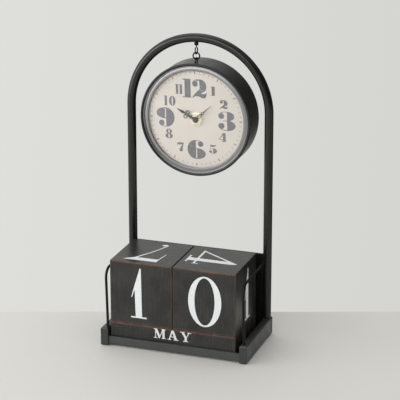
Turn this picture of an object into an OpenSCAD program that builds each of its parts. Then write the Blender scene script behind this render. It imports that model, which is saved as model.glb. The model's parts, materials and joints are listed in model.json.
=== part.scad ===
// Perpetual calendar clock: a drum clock hangs in an arch over two number cubes and three month bars.
// Millimetres. +X is right, +Y is back, +Z is up.
// The origin is on the table, under the middle of the clock.

/* [Calendar blocks] */
// Side of a number cube, which also sets the width and depth of the stand
cube_side = 59.8; // [54:0.1:72]
// Gap between the two cubes
cube_gap = 0.3; // [0.2:0.1:1]
// Bevel on the cubes' edges
cube_bevel = 0.7; // [0.2:0.1:1.5]
// Gap between neighbouring month bars
bar_gap = 0.15; // [0.1:0.05:0.6]
// Bevel on the month bars' edges
bar_bevel = 0.45; // [0.2:0.05:1]
// Gap between the left rail and the blocks
left_room = 1.3; // [1:0.1:4]
// Gap between the right rail and the blocks
right_room = 4.8; // [1:0.1:6]
// Gap between the front rail and the blocks
front_room = 0.3; // [0.2:0.1:1]
// Gap between the cubes and the back panel
back_room = 8.95; // [7:0.05:14]

/* [Base] */
// Width of one side rail
rail_w = 7; // [6:0.5:9]
// Height of the side rails
rail_h = 17.5; // [13:0.5:24]
// Rounding of the side rails' edges
rail_round = 1.6; // [0.5:0.1:2]
// Height of the front rail
front_rail_h = 7; // [5:0.5:12]
// Thickness of the front rail
front_rail_t = 2.2; // [1.5:0.1:2.3]
// How far the front rail sits behind the rails' front ends
front_rail_recess = 1.5; // [0:0.1:1.5]
// Space between the table and the tray floor
floor_lift = 2.2; // [2:0.1:4]
// Thickness of the tray floor
floor_t = 1.1; // [1:0.1:3]
// Thickness of the back panel
panel_t = 1.5; // [1:0.1:3]
// Height of the back panel's top edge above the table
panel_top = 79.5; // [40:0.5:95]

/* [Arch] */
// Outer diameter of the arch tube
arch_tube_d = 8; // [7:0.1:9]
// Wall of the arch tube
arch_wall = 1; // [0.8:0.1:1.5]
// How far the leg axes stand in from the middle of the side rails
leg_inset = 0.75; // [0:0.05:1.5]
// Height of the arch's outer top above the table
arch_top = 281; // [265:1:320]
// Distance from the rails' rear ends to the leg axes
leg_setback = 4.5; // [4:0.1:8]

/* [Guard wires] */
// Diameter of the guard wires
wire_d = 2.4; // [1.6:0.1:3]
// Distance from the rails' front ends to the upright wires
wire_setback = 4.5; // [3.5:0.1:10]
// Height of the level wires' axis above the table
wire_top = 73; // [40:1:80]
// Bend radius of the wires' axis
wire_bend_r = 9; // [3:0.5:12]
// How far the left wire's foot stands in from the middle of its rail
left_wire_inset = 2; // [0:0.1:2.3]
// How far the right wire's foot stands in from the middle of its rail
right_wire_inset = 0.4; // [0:0.1:2]
// Lean of both wires to the clock's left, in degrees
wire_lean = 1.4; // [0:0.1:2]
// How deep a wire's ends sink into the leg and the rail they are welded to
wire_weld = 0.7; // [0.3:0.1:0.9]

/* [Hook and ring] */
// Distance of the hook from the arch's middle, to the right
hook_x = -3; // [-6:0.1:6]
// Wire diameter of the hook
hook_wire_d = 1.1; // [0.9:0.1:1.2]
// Diameter of the hook's collar
hook_collar_d = 3.8; // [3:0.1:6]
// Height of the collar under the tube
hook_collar_h = 2.7; // [1.5:0.1:3]
// Radius of the hook's bend, on the wire's axis
hook_bend_r = 3; // [2:0.1:3.5]
// Drop from the tube's underside to the lowest point of the hook's axis
hook_drop = 10.9; // [10.6:0.1:14]
// Radius of the reverse bend between the hook's back and its neck
hook_neck_r = 1.6; // [1.2:0.1:1.8]
// How far the bead between the hook's two bends stands out of the wire
hook_weld_bead = 0.05; // [0.05:0.05:0.2]
// Length of the hook's straight open tip
hook_tip = 3; // [1:0.1:3.2]
// How deep the collar sinks into the tube it is welded to
hook_weld = 0.5; // [0.3:0.1:0.7]
// Wire diameter of the hanging ring
ring_wire_d = 1.3; // [1:0.1:1.5]
// Radius of the hanging ring's axis
ring_r = 3.1; // [2.8:0.1:4.5]
// Wire diameter of the drum's eye
eye_wire_d = 1.2; // [1:0.1:1.5]
// Radius of the eye's bend, on the wire's axis
eye_r = 2.6; // [2.2:0.1:3.5]
// Height of the eye's axis above the drum
eye_rise = 3.8; // [2.8:0.1:4]
// How far the eye stands to the left of the drum's middle
eye_offset = 1.5; // [0:0.1:3]
// How deep the eye's legs sink into the drum's wall
eye_weld = 0.7; // [0.4:0.1:0.7]
// Clearance between linked wires
link_gap = 0.1; // [0.05:0.05:0.2]

/* [Drum] */
// Outer diameter of the drum
drum_d = 105; // [100:0.5:106]
// Depth of the drum, front to back
drum_depth = 27; // [26.5:0.5:32]
// Thickness of the drum's wall
case_wall = 1; // [0.8:0.1:1.3]
// Width of the rolled bead at the drum's front
bead_w = 2.4; // [2:0.1:2.8]
// Step from the bead down to the wall
bead_step = 0.4; // [0.2:0.1:0.6]
// Depth of the hanging line behind the drum's front
hang_depth = 9; // [6:0.1:12]
// Width of the bezel ring that shows inside the bead
bezel_w = 4.8; // [4:0.1:6]
// Depth of the bezel ring's outer edge behind the drum's front
bezel_front = 1.3; // [1.1:0.1:1.5]
// Drop of the bezel ring's face from its outer edge to its inner edge
bezel_drop = 1.3; // [0.8:0.1:1.4]
// Thickness of the bezel ring's inner lip
bezel_lip = 0.6; // [0.4:0.1:0.8]
// How far the glass reaches under the bezel ring's lip
glass_lap = 1.4; // [1:0.1:2]
// Thickness of the glass
glass_t = 1.2; // [1:0.1:1.3]
// Rise of the domed glass
glass_rise = 4; // [3.8:0.1:6]
// Depth of the dial's face behind the drum's front
dial_depth = 4.7; // [4.6:0.1:5]
// Thickness of the dial
dial_t = 0.5; // [0.4:0.1:1]
// Clearance between loose-fitting pieces
fit_gap = 0.2; // [0.1:0.05:0.3]
// Width of the tabs that hold the dial
tab_w = 6; // [4:0.5:8]
// Length of the tabs, from the wall inwards
tab_l = 2.8; // [2:0.1:4]
// Thickness of the tabs
tab_t = 0.9; // [0.5:0.1:1]

/* [Rear cover] */
// Thickness of the rear cover
cover_t = 1.2; // [1:0.1:1.4]
// How far the cover sits in from the drum's rear edge
cover_inset = 1.4; // [1.3:0.1:2]
// Room round the movement in the rear cover's window
window_gap = 1; // [0.5:0.1:2]
// Width of the screw lugs
lug_w = 8; // [7:0.5:12]
// Length of the screw lugs, from the wall inwards
lug_l = 7.6; // [7:0.1:8.4]
// Thickness of the screw lugs
lug_t = 3; // [2:0.1:4]
// Diameter of the cover screws' thread
screw_d = 2.2; // [2:0.1:2.6]
// Diameter of the screw heads
screw_head_d = 4.8; // [4:0.1:5.2]
// Height of the screw heads
screw_head_h = 1.3; // [1:0.1:1.3]
// Length of a screw's thread under its head
screw_l = 4.6; // [4:0.1:6]
// Distance of the screws from the inside of the drum's wall
screw_inset = 4.4; // [4:0.1:4.8]

/* [Movement housing] */
// Height of the movement, whose width follows the battery
movement_h = 56; // [55:0.5:57]
// Thickness of the movement
movement_t = 16; // [15.9:0.1:16.5]
// Wall of the movement's housing
housing_wall = 1.2; // [1:0.1:1.3]
// Thickness of the movement's rear lid
lid_t = 1.2; // [1:0.1:1.5]
// Thickness of the middle plate
plate_t = 1; // [0.8:0.1:1.2]
// Depth of the middle plate's front behind the movement's front
plate_front = 4.6; // [4.5:0.1:4.8]
// Thickness of the rubber washer behind the dial
rubber_t = 0.5; // [0.4:0.1:1]
// Outer diameter of the rubber washer
rubber_d = 22; // [16:1:30]
// Outer diameter of the threaded bush
bush_d = 8; // [7.8:0.1:8.4]
// Outer diameter of the brass washer
washer_d = 13; // [12:0.5:15]
// Thickness of the brass washer
washer_t = 0.3; // [0.2:0.1:0.4]
// Size of the hexagonal nut across its flats
nut_af = 10.5; // [10:0.5:12]
// Thickness of the hexagonal nut
nut_t = 1.5; // [1.2:0.1:1.6]
// Radius of the support posts inside the movement
post_r = 1.1; // [0.8:0.1:1.3]

/* [Shafts and wheels] */
// Radial running clearance of every shaft and pivot
run_gap = 0.06; // [0.03:0.01:0.08]
// Diameter of the minute pipe
minute_pipe_d = 2.4; // [2.2:0.1:2.4]
// Outer diameter of the hour pipe
hour_pipe_d = 4; // [3.6:0.1:4.4]
// Diameter of the centre arbor
centre_arbor_d = 1.2; // [1:0.1:1.3]
// Diameter of the small arbors and pivots
arbor_d = 0.8; // [0.6:0.1:0.9]
// Diameter of the seconds wheel's front pivot
fine_pivot_d = 0.5; // [0.4:0.05:0.6]
// Diameter of the setting shaft
knob_shaft_d = 2; // [1.6:0.1:2.2]
// Thickness of every toothed wheel
wheel_t = 0.65; // [0.4:0.05:0.7]
// Clearance on each flank between meshing teeth
tooth_gap = 0.02; // [0.015:0.005:0.04]
// Tooth module of the cannon pinion, motion wheel and setting pinion
cannon_mod = 0.25; // [0.24:0.01:0.26]
// Tooth module of the motion pinion and hour wheel
hour_mod = 0.2; // [0.19:0.01:0.21]
// Tooth module of the rotor pinion and fifth wheel
fifth_mod = 0.2; // [0.18:0.01:0.21]
// Tooth module of the fifth pinion and seconds wheel
seconds_mod = 0.26; // [0.26:0.01:0.28]
// Tooth module of the seconds pinion and third wheel
third_mod = 0.18; // [0.18:0.01:0.2]

/* [Electrical pieces] */
// Diameter of the battery
battery_d = 14.2; // [13.5:0.1:14.4]
// Length of the battery without its nub
battery_l = 49.2; // [48:0.1:49.6]
// Diameter of the battery's nub
nub_d = 5.5; // [4.5:0.1:6]
// Length of the battery's nub
nub_l = 1.3; // [1:0.1:1.5]
// Clearance round the battery in its bay
battery_gap = 0.35; // [0.2:0.05:0.5]
// Thickness of the battery contacts
contact_t = 0.4; // [0.3:0.05:0.6]
// How far a contact's round boss stands off its strip
contact_boss = 0.8; // [0.4:0.1:1]
// Diameter of the rotor's magnet
magnet_d = 5; // [4:0.1:5.4]
// Length of the rotor's magnet
magnet_l = 3; // [2.5:0.1:3.2]
// Air gap between the magnet and the stator
air_gap = 0.4; // [0.3:0.05:0.5]
// Thickness of the stator plate
stator_t = 0.8; // [0.5:0.1:1]
// Outer diameter of the drive coil
coil_d = 6.4; // [5:0.1:7]
// Gap between the drive coil and the top wall of the housing
coil_gap = 3.1; // [1:0.1:4]
// Length of the drive coil between the stator's legs
coil_l = 11; // [9:0.5:12]
// Width of the circuit board
board_w = 15; // [12:0.5:16]
// Height of the circuit board
board_h = 18; // [14:0.5:20]
// Thickness of the circuit board
board_t = 1; // [0.8:0.1:1.6]
// Gap between the circuit board and the side wall of the housing
board_inset = 3.8; // [1:0.1:4.5]
// Height of the board's lower edge above the hands' axis
board_bottom = 4; // [3:0.1:6]
// Depth from the board's front to the lid
board_back_gap = 2.8; // [2.4:0.1:3.5]
// Diameter of the quartz crystal's can
crystal_d = 1.8; // [1.5:0.1:2]
// Length of the quartz crystal's can
crystal_l = 6; // [5:0.5:8]

/* [Hands and knob] */
// Length of the minute hand from its axis
minute_hand_l = 20.8; // [18:0.1:26]
// Length of the hour hand from its axis
hour_hand_l = 20; // [18:0.1:24]
// Thickness of the hands
hand_t = 0.4; // [0.3:0.05:0.4]
// Gap between the hour hand and the minute hand
hand_gap = 0.2; // [0.1:0.05:0.25]
// Radius of the hands' hubs
hub_r = 2.5; // [2.5:0.1:3.5]
// Radius of the cap over the hands
cap_r = 1.6; // [1.5:0.1:2.4]
// Thickness of the cap over the hands
cap_t = 0.5; // [0.3:0.05:0.5]
// Direction of the minute hand, clockwise from twelve
minute_angle = 45.5; // [0:0.5:359]
// Direction of the hour hand, clockwise from twelve
hour_angle = 297.5; // [0:0.5:359]
// Diameter of the setting knob
knob_d = 10; // [7:0.5:10.5]
// Thickness of the setting knob
knob_t = 2.6; // [1.5:0.1:3]

/* [Hidden] */
$fn = 72;

// The blocks fill the tray from side to side and from front to back
pair_w = 2 * cube_side + cube_gap;
bar_side = (cube_side - 2 * bar_gap) / 3;
bar_pitch = bar_side + bar_gap;
base_w = pair_w + left_room + right_room + 2 * rail_w;
block_from_front = front_rail_recess + front_rail_t + front_room;
leg_from_front = block_from_front + cube_side + back_room + panel_t / 2;
base_d = leg_from_front + leg_setback;

// Front to back: the drum hangs in the arch's plane and may stand out behind the base
drum_back_from_front = leg_from_front - hang_depth + drum_depth;
front_y = -max(base_d, drum_back_from_front) / 2;
leg_y = front_y + leg_from_front;

// Side to side
rail_inner_x = base_w / 2 - rail_w;
rail_mid_x = base_w / 2 - rail_w / 2;
leg_x = rail_mid_x - leg_inset;
arch_tube_r = arch_tube_d / 2;

// Bottom to top
arch_centre_z = arch_top - arch_tube_r - leg_x;
floor_top = floor_lift + floor_t;
bar_top = floor_top + bar_side;

// The blocks' left front corner
front_rail_y = front_y + front_rail_recess;
block_y = front_y + block_from_front;
block_x = left_room - rail_inner_x;

// The chain that the drum hangs on, from the tube down
tube_under_z = arch_centre_z + sqrt(pow(leg_x - arch_tube_r, 2) - pow(hook_x, 2));
hook_z = tube_under_z - hook_drop;
ring_top_z = hook_z + (hook_wire_d + ring_wire_d) / 2 + link_gap;
ring_bottom_z = ring_top_z - 2 * ring_r;
eye_top_z = ring_bottom_z + (ring_wire_d + eye_wire_d) / 2 + link_gap;
wall_top_z = eye_top_z - eye_rise;
case_r = drum_d / 2 - bead_step;
case_inner_r = case_r - case_wall;
drum_z = wall_top_z - sqrt(pow(case_r, 2) - pow(eye_offset, 2));
drum_x = hook_x + eye_offset;
drum_front_y = leg_y - hang_depth;

// Drum pieces, as radii and as depths behind the drum's front
bead_r = drum_d / 2;
bead_inner_r = bead_r - bead_w;
insert_r = case_inner_r - fit_gap;
bezel_inner_r = bead_inner_r - bezel_w;
bezel_lip_back = bezel_front + bezel_drop + bezel_lip;
glass_r = bezel_inner_r + glass_lap;
glass_front = bezel_lip_back;
dome_r = bezel_inner_r - fit_gap;
dial_back = dial_depth + dial_t;
cover_back = drum_depth - cover_inset;
cover_front = cover_back - cover_t;
screw_r = case_inner_r - screw_inset;
screw_angles = [60, 180, 300];
tab_angles = [30, 150, 270];

// Movement, as depths behind its own front face
movement_front = dial_back + rubber_t;
movement_w = battery_l + nub_l + 2 * (battery_gap + contact_boss + contact_t + housing_wall);
half_movement_w = movement_w / 2;
half_movement = movement_h / 2;
lid_front = movement_t - lid_t;
bay_h = battery_d + 2 * battery_gap;
bay_bottom = -half_movement + housing_wall;
bay_top = bay_bottom + bay_h;
bay_half_w = half_movement_w - housing_wall;
battery_y = bay_bottom + bay_h / 2;
battery_axis_depth = housing_wall + battery_gap + battery_d / 2;
train_bottom = bay_top + housing_wall;
plate_back = plate_front + plate_t;
pivot_in = 0.6;

// Tooth counts of the motion work, 12 to 1
cannon_teeth = 12;
motion_teeth = 36;
motion_pinion_teeth = 12;
hour_teeth = 48;
knob_teeth = 12;
// Tooth counts of the going train
rotor_teeth = 8;
fifth_teeth = 48;
fifth_pinion_teeth = 8;
seconds_teeth = 40;
seconds_pinion_teeth = 8;
third_teeth = 60;
third_pinion_teeth = 8;
centre_teeth = 64;

// The hour pair's module follows from the cannon pair's centre distance, and the centre pair's likewise
motion_dist = cannon_mod * (cannon_teeth + motion_teeth) / 2;
hour_pair_mod = motion_dist * 2 / (motion_pinion_teeth + hour_teeth);
third_dist = third_mod * (seconds_pinion_teeth + third_teeth) / 2;
centre_mod = third_dist * 2 / (third_pinion_teeth + centre_teeth);
fifth_dist = seconds_mod * (fifth_pinion_teeth + seconds_teeth) / 2;
rotor_dist = fifth_mod * (rotor_teeth + fifth_teeth) / 2;

// Where the wheels stand round the hands' axis, and the way each pair faces
motion_dir = -30;
third_dir = 200;
fifth_dir = 110;
rotor_dir = 100;
motion_at = polar(motion_dist, motion_dir);
knob_at = motion_at + polar(cannon_mod * (motion_teeth + knob_teeth) / 2, motion_dir);
third_at = polar(third_dist, third_dir);
fifth_at = polar(fifth_dist, fifth_dir);
rotor_at = fifth_at + polar(rotor_dist, rotor_dir);

// Depths of the wheels' front faces
hour_wheel_depth = housing_wall + 0.4;
cannon_depth = hour_wheel_depth + 2 * wheel_t + 0.3;
centre_depth = plate_back + 0.4;
third_depth = centre_depth + wheel_t + 0.75;
seconds_depth = third_depth + wheel_t + 0.55;
fifth_depth = seconds_depth + wheel_t + 0.95;
rotor_magnet_depth = seconds_depth - 2.1;
stator_depth = rotor_magnet_depth + (magnet_l - stator_t) / 2;

// Depths of the pieces in front of the dial, as depths behind the drum's front
washer_front = dial_depth - washer_t;
nut_front = washer_front - nut_t;
bush_front = nut_front - 0.1;
hour_hand_front = bush_front - 0.15 - hand_t;
minute_hand_front = hour_hand_front - hand_gap - hand_t;

// Tooth shape
degrees_per_radian = 180 / PI;
pressure_angle = 25;
tooth_head = 0.7;
tooth_foot = 0.95;

// The middle plate reaches past the wheels' arbors and the setting shaft
plate_margin = 3.6;
plate_left = third_at[0] - 2 * plate_margin;
plate_right = knob_at[0] + plate_margin;
plate_low = knob_at[1] - plate_margin + 0.5;
plate_high = rotor_at[1] + 2.5;
post_inset = post_r + 0.9;

// Coil and board places in the movement
coil_at = [rotor_at[0], half_movement - housing_wall - coil_gap - coil_d / 2];
core_h = 1.6;
stator_leg_w = 2;
board_at = [bay_half_w - board_w - board_inset, board_bottom];
board_depth = lid_front - board_back_gap;

// A point at a distance and a direction
function polar(r, a) = [r * cos(a), r * sin(a)];

// Involute function, in degrees
function inv(a) = tan(a) * degrees_per_radian - a;

// Half the angular width of a tooth at radius r
function tooth_half(teeth, m, r) =
    let (pitch_r = teeth * m / 2, base_r = pitch_r * cos(pressure_angle))
    90 / teeth - tooth_gap / pitch_r * degrees_per_radian + inv(pressure_angle)
        - (r > base_r ? inv(acos(base_r / r)) : 0);

// Radii at which a tooth's flank has a corner, from the root to the tip
function flank_radii(teeth, m) =
    let (pitch_r = teeth * m / 2, base_r = pitch_r * cos(pressure_angle),
        root_r = pitch_r - tooth_foot * m, tip_r = pitch_r + tooth_head * m)
    root_r > base_r ? [root_r, pitch_r, tip_r] : [root_r, base_r, pitch_r, tip_r];

// Outline of a spur gear with a tooth's middle at angle phase
function gear_outline(teeth, m, phase) =
    let (radii = flank_radii(teeth, m), last = len(radii) - 1)
    [for (i = [0:teeth - 1], k = [0:2 * last + 1])
        let (up = k <= last, r = radii[up ? k : 2 * last + 1 - k],
            side = up ? -1 : 1)
        polar(r, phase + i * 360 / teeth + side * tooth_half(teeth, m, r))];

// Phase of a second gear, in direction dir from a first one, that puts the two in mesh
function mesh_phase(dir, teeth_1, phase_1, teeth_2) =
    dir + 180 - 180 / teeth_2 + (dir - phase_1) * teeth_1 / teeth_2;

// Phases at rest
motion_phase = mesh_phase(motion_dir, cannon_teeth, 0, motion_teeth);
hour_phase = mesh_phase(motion_dir + 180, motion_pinion_teeth, 0, hour_teeth);
knob_phase = mesh_phase(motion_dir, motion_teeth, motion_phase, knob_teeth);
third_pinion_phase = mesh_phase(third_dir, centre_teeth, 0, third_pinion_teeth);
seconds_pinion_phase = mesh_phase(third_dir + 180, third_teeth, 0, seconds_pinion_teeth);
fifth_pinion_phase = mesh_phase(fifth_dir, seconds_teeth, 0, fifth_pinion_teeth);
rotor_phase = mesh_phase(rotor_dir, fifth_teeth, 0, rotor_teeth);

// Drum frame: x right, y up, and depth d behind the drum's front, where children grow backwards
module in_drum(d) {
    translate([drum_x, drum_front_y + d, drum_z]) rotate([90, 0, 0]) mirror([0, 0, 1]) children();
}

// Movement frame: the same, with depth d behind the movement's front face
module in_movement(d) {
    in_drum(movement_front + d) children();
}

// A disc from depth d, t thick, at a point of the movement
module movement_disc(at, r, d, t) {
    in_movement(d) translate([at[0], at[1], 0]) cylinder(r = r, h = t);
}

// A toothed wheel from depth d, t thick, at a point of the movement
module toothed(at, teeth, m, phase, d, t) {
    in_movement(d) translate([at[0], at[1], 0])
        linear_extrude(height = t) polygon(gear_outline(teeth, m, phase));
}

// A box with all its edges bevelled, from the origin
module bevelled_box(size, bevel) {
    intersection() {
        linear_extrude(height = size[2]) bevelled_square(size[0], size[1], bevel);
        translate([0, size[1], 0]) rotate([90, 0, 0])
            linear_extrude(height = size[1]) bevelled_square(size[0], size[2], bevel);
        rotate([90, 0, 90]) linear_extrude(height = size[0]) bevelled_square(size[1], size[2], bevel);
    }
}

module bevelled_square(w, h, c) {
    polygon([[c, 0], [w - c, 0], [w, c], [w, h - c], [w - c, h], [c, h], [0, h - c], [0, c]]);
}

// A rectangle with round corners, from the origin
module round_square(w, h, r) {
    translate([r, 0]) square([w - 2 * r, h]);
    translate([0, r]) square([w, h - 2 * r]);
    for (x = [r, w - r], y = [r, h - r]) translate([x, y]) circle(r = r);
}

// Part of a wire ring in the plane of Y and Z, from +Y over +Z
module wire_arc(axis_r, wire_r, angle) {
    rotate([90, 0, 90]) rotate_extrude(angle = angle) translate([axis_r, 0]) circle(r = wire_r);
}

// Side rail with its outer face at base_w / 2, rounded lengthwise and at its ends
module side_rail() {
    translate([rail_inner_x, front_y, 0]) intersection() {
        translate([0, base_d, 0]) rotate([90, 0, 0])
            linear_extrude(height = base_d) round_square(rail_w, rail_h, rail_round);
        rotate([90, 0, 90]) linear_extrude(height = rail_w) round_square(base_d, rail_h, rail_round);
    }
}

module left_rail() {
    color([0.16, 0.17, 0.16]) mirror([1, 0, 0]) side_rail();
}

module right_rail() {
    color([0.16, 0.17, 0.16]) side_rail();
}

module front_rail() {
    color([0.16, 0.17, 0.16]) translate([-rail_inner_x, front_rail_y, floor_lift])
        cube([2 * rail_inner_x, front_rail_t, front_rail_h]);
}

module tray_floor() {
    floor_front = front_rail_y + front_rail_t;
    color([0.13, 0.13, 0.13]) translate([-rail_inner_x, floor_front, floor_lift])
        cube([2 * rail_inner_x, leg_y - panel_t / 2 - floor_front, floor_t]);
}

// The panel stands between the legs, its ends sunk a little into the tubes
module back_panel() {
    half_w = leg_x - arch_tube_r + arch_wall / 2;
    color([0.1, 0.1, 0.1]) translate([-half_w, leg_y - panel_t / 2, floor_lift])
        cube([2 * half_w, panel_t, panel_top - floor_lift]);
}

// The bent tube's outside, or its bore with a smaller radius
module arch_bar(r) {
    for (side = [-1, 1]) translate([side * leg_x, leg_y, rail_h])
        cylinder(r = r, h = arch_centre_z - rail_h);
    translate([0, leg_y, arch_centre_z]) rotate([90, 0, 0])
        rotate_extrude(angle = 180) translate([leg_x, 0]) circle(r = r);
}

module arch_tube() {
    color([0.12, 0.12, 0.12]) difference() {
        arch_bar(arch_tube_r);
        arch_bar(arch_tube_r - arch_wall);
    }
}

// An upright on the rail, a bend, and a level run to the leg, all leaning to the left
module guard_wire(side, inset) {
    wire_r = wire_d / 2;
    upright_y = front_y + wire_setback;
    upright_h = wire_top - rail_h;
    foot_x = side * (rail_mid_x - inset);
    off_leg = foot_x - upright_h * sin(wire_lean) - side * leg_x;
    leg_face = leg_y - sqrt(pow(arch_tube_r, 2) - pow(off_leg, 2));
    translate([foot_x, upright_y, rail_h]) rotate([0, -wire_lean, 0]) {
        translate([0, 0, -wire_weld]) cylinder(r = wire_r, h = upright_h - wire_bend_r + wire_weld);
        translate([0, wire_bend_r, upright_h - wire_bend_r]) mirror([0, 1, 0])
            wire_arc(wire_bend_r, wire_r, 90);
        translate([0, wire_bend_r, upright_h]) rotate([-90, 0, 0])
            cylinder(r = wire_r, h = leg_face - upright_y - wire_bend_r + wire_weld);
    }
}

module left_guard_wire() {
    color([0.1, 0.1, 0.1]) guard_wire(-1, left_wire_inset);
}

module right_guard_wire() {
    color([0.1, 0.1, 0.1]) guard_wire(1, right_wire_inset);
}

// Collar, neck, reverse bend, big bend and open tip at the front, with z counted from the big bend's centre
module arch_hook() {
    wire_r = hook_wire_d / 2;
    collar_z = hook_drop - hook_collar_h - hook_bend_r;
    neck_z = sqrt(pow(hook_bend_r + hook_neck_r, 2) - pow(hook_neck_r, 2));
    meet_angle = atan2(neck_z, hook_neck_r);
    point_l = wire_r;
    color([0.08, 0.08, 0.08]) translate([hook_x, leg_y, hook_z + hook_bend_r]) {
        translate([0, 0, collar_z]) cylinder(d = hook_collar_d, h = hook_collar_h + hook_weld);
        translate([0, 0, neck_z]) cylinder(r = wire_r, h = collar_z - neck_z + hook_weld);
        translate([0, hook_neck_r, neck_z]) rotate([180, 0, 0]) wire_arc(hook_neck_r, wire_r, meet_angle);
        rotate([180, 0, 0]) wire_arc(hook_bend_r, wire_r, 180 + meet_angle);
        rotate([meet_angle, 0, 0]) translate([0, hook_bend_r, 0]) sphere(r = wire_r + hook_weld_bead);
        translate([0, -hook_bend_r, 0]) cylinder(r = wire_r, h = hook_tip);
        translate([0, -hook_bend_r, hook_tip]) cylinder(r1 = wire_r, r2 = wire_r / 2, h = point_l);
    }
}

module hanging_ring() {
    color([0.1, 0.1, 0.1]) translate([hook_x, leg_y, ring_top_z - ring_r]) rotate([90, 0, 0])
        rotate_extrude() translate([ring_r, 0]) circle(d = ring_wire_d);
}

// A staple whose two legs are sunk into the drum's wall
module drum_eye() {
    wire_r = eye_wire_d / 2;
    centre_z = eye_top_z - eye_r;
    foot_z = wall_top_z - eye_weld;
    color([0.1, 0.1, 0.1]) translate([hook_x, leg_y, centre_z]) {
        wire_arc(eye_r, wire_r, 180);
        for (side = [-1, 1]) translate([0, side * eye_r, foot_z - centre_z])
            cylinder(r = wire_r, h = centre_z - foot_z);
    }
}

// Wall with a rolled front bead, dial tabs and screw lugs
module drum_case() {
    roll_r = bead_w / 2;
    color([0.09, 0.09, 0.1]) difference() {
        union() {
            in_drum(0) rotate_extrude() {
                translate([bead_inner_r + roll_r, roll_r]) circle(r = roll_r);
                translate([case_inner_r, roll_r]) square([case_wall, drum_depth - roll_r]);
            }
            for (a = tab_angles) in_drum(dial_back) rotate([0, 0, a])
                translate([case_inner_r - tab_l, -tab_w / 2, 0])
                    cube([tab_l + case_wall / 2, tab_w, tab_t]);
            for (a = screw_angles) in_drum(cover_front - lug_t) rotate([0, 0, a])
                translate([case_inner_r - lug_l, -lug_w / 2, 0])
                    cube([lug_l + case_wall / 2, lug_w, lug_t]);
        }
        in_drum(bezel_front) cylinder(r = insert_r + 0.05, h = dial_back - bezel_front);
        for (a = screw_angles) in_drum(cover_front - lug_t - 1) rotate([0, 0, a])
            translate([screw_r, 0, 0]) cylinder(d = screw_d, h = lug_t + 2);
    }
}

// Satin ring between the bead and the dial, whose lip holds the glass
module bezel_ring() {
    steps = 6;
    face = [for (i = [0:steps]) let (t = i / steps)
        [bead_inner_r + fit_gap - t * (bezel_w + fit_gap), bezel_front + bezel_drop * pow(t, 1.6)]];
    color([0.62, 0.62, 0.62]) in_drum(0) rotate_extrude() polygon(concat(
        [[insert_r, dial_depth], [insert_r, bezel_front]], face,
        [[bezel_inner_r, bezel_lip_back], [glass_r + fit_gap, bezel_lip_back],
            [glass_r + fit_gap, dial_depth]]));
}

// Domed glass with a flat rim
module glass_lens() {
    steps = 10;
    front = [for (i = [0:steps]) let (r = dome_r * (1 - i / steps))
        [r, glass_front - glass_rise * (1 - pow(r / dome_r, 2))]];
    back = [for (i = [steps:-1:0]) [front[i][0], front[i][1] + glass_t]];
    color([0.85, 0.92, 0.95, 0.3]) in_drum(0) rotate_extrude()
        polygon(concat([[glass_r, glass_front + glass_t], [glass_r, glass_front]], front, back));
}

module dial() {
    color([0.86, 0.84, 0.8]) in_drum(dial_depth) difference() {
        cylinder(r = insert_r, h = dial_t);
        translate([0, 0, -1]) cylinder(d = bush_d + fit_gap, h = dial_t + 2);
    }
}

module rear_cover() {
    color([0.08, 0.08, 0.08]) in_drum(cover_front) difference() {
        cylinder(r = case_inner_r - fit_gap, h = cover_t);
        translate([-half_movement_w - window_gap, -half_movement - window_gap, -1])
            cube([movement_w + 2 * window_gap, movement_h + 2 * window_gap, cover_t + 2]);
        for (a = screw_angles) rotate([0, 0, a]) translate([screw_r, 0, -1])
            cylinder(d = screw_d + 2 * fit_gap, h = cover_t + 2);
    }
}

// Slotted pan-head screws
module cover_screws() {
    slot_w = screw_head_d / 6;
    slot_d = screw_head_h / 2;
    color([0.7, 0.68, 0.6]) for (a = screw_angles) in_drum(cover_back - screw_l) rotate([0, 0, a])
        translate([screw_r, 0, 0]) difference() {
            union() {
                cylinder(d = screw_d, h = screw_l);
                translate([0, 0, screw_l]) cylinder(d = screw_head_d, h = screw_head_h);
            }
            translate([-screw_head_d, -slot_w / 2, screw_l + screw_head_h - slot_d])
                cube([2 * screw_head_d, slot_w, slot_d + 1]);
        }
}

// Box open at the back, with a wall between the wheels and the battery, and support posts
module movement_housing() {
    inner_h = movement_h - 2 * housing_wall;
    left_x = plate_left + post_inset;
    right_x = plate_right - post_inset;
    high_y = plate_high - post_inset;
    plate_posts = [[left_x, plate_low + post_inset], [right_x, post_inset], [left_x, high_y],
        [right_x, high_y]];
    board_left = board_at[0] + post_inset;
    board_right = board_at[0] + board_w - post_inset;
    board_high = board_at[1] + board_h - post_inset;
    board_posts = [[board_right, board_at[1] + post_inset], [board_right, board_high],
        [board_left, board_high]];
    color([0.12, 0.12, 0.13]) difference() {
        union() {
            in_movement(0) difference() {
                translate([-half_movement_w, -half_movement, 0])
                    cube([movement_w, movement_h, movement_t]);
                translate([-bay_half_w, -inner_h / 2, housing_wall])
                    cube([2 * bay_half_w, inner_h, movement_t]);
            }
            in_movement(0) translate([-half_movement_w, bay_top, 0])
                cube([movement_w, housing_wall, movement_t]);
            for (at = plate_posts)
                movement_disc(at, post_r, housing_wall / 2, plate_front - housing_wall / 2);
            for (at = board_posts)
                movement_disc(at, post_r, housing_wall / 2, board_depth - housing_wall / 2);
            for (side = [-1, 1]) movement_disc(coil_at + [side * (coil_l + stator_leg_w) / 2, -coil_d / 2],
                post_r * 0.7, housing_wall / 2, stator_depth - housing_wall / 2);
        }
        in_movement(-1) cylinder(d = bush_d, h = housing_wall + 2);
        movement_disc(motion_at, arbor_d / 2 + run_gap, housing_wall - pivot_in, 1);
    }
}

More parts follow.
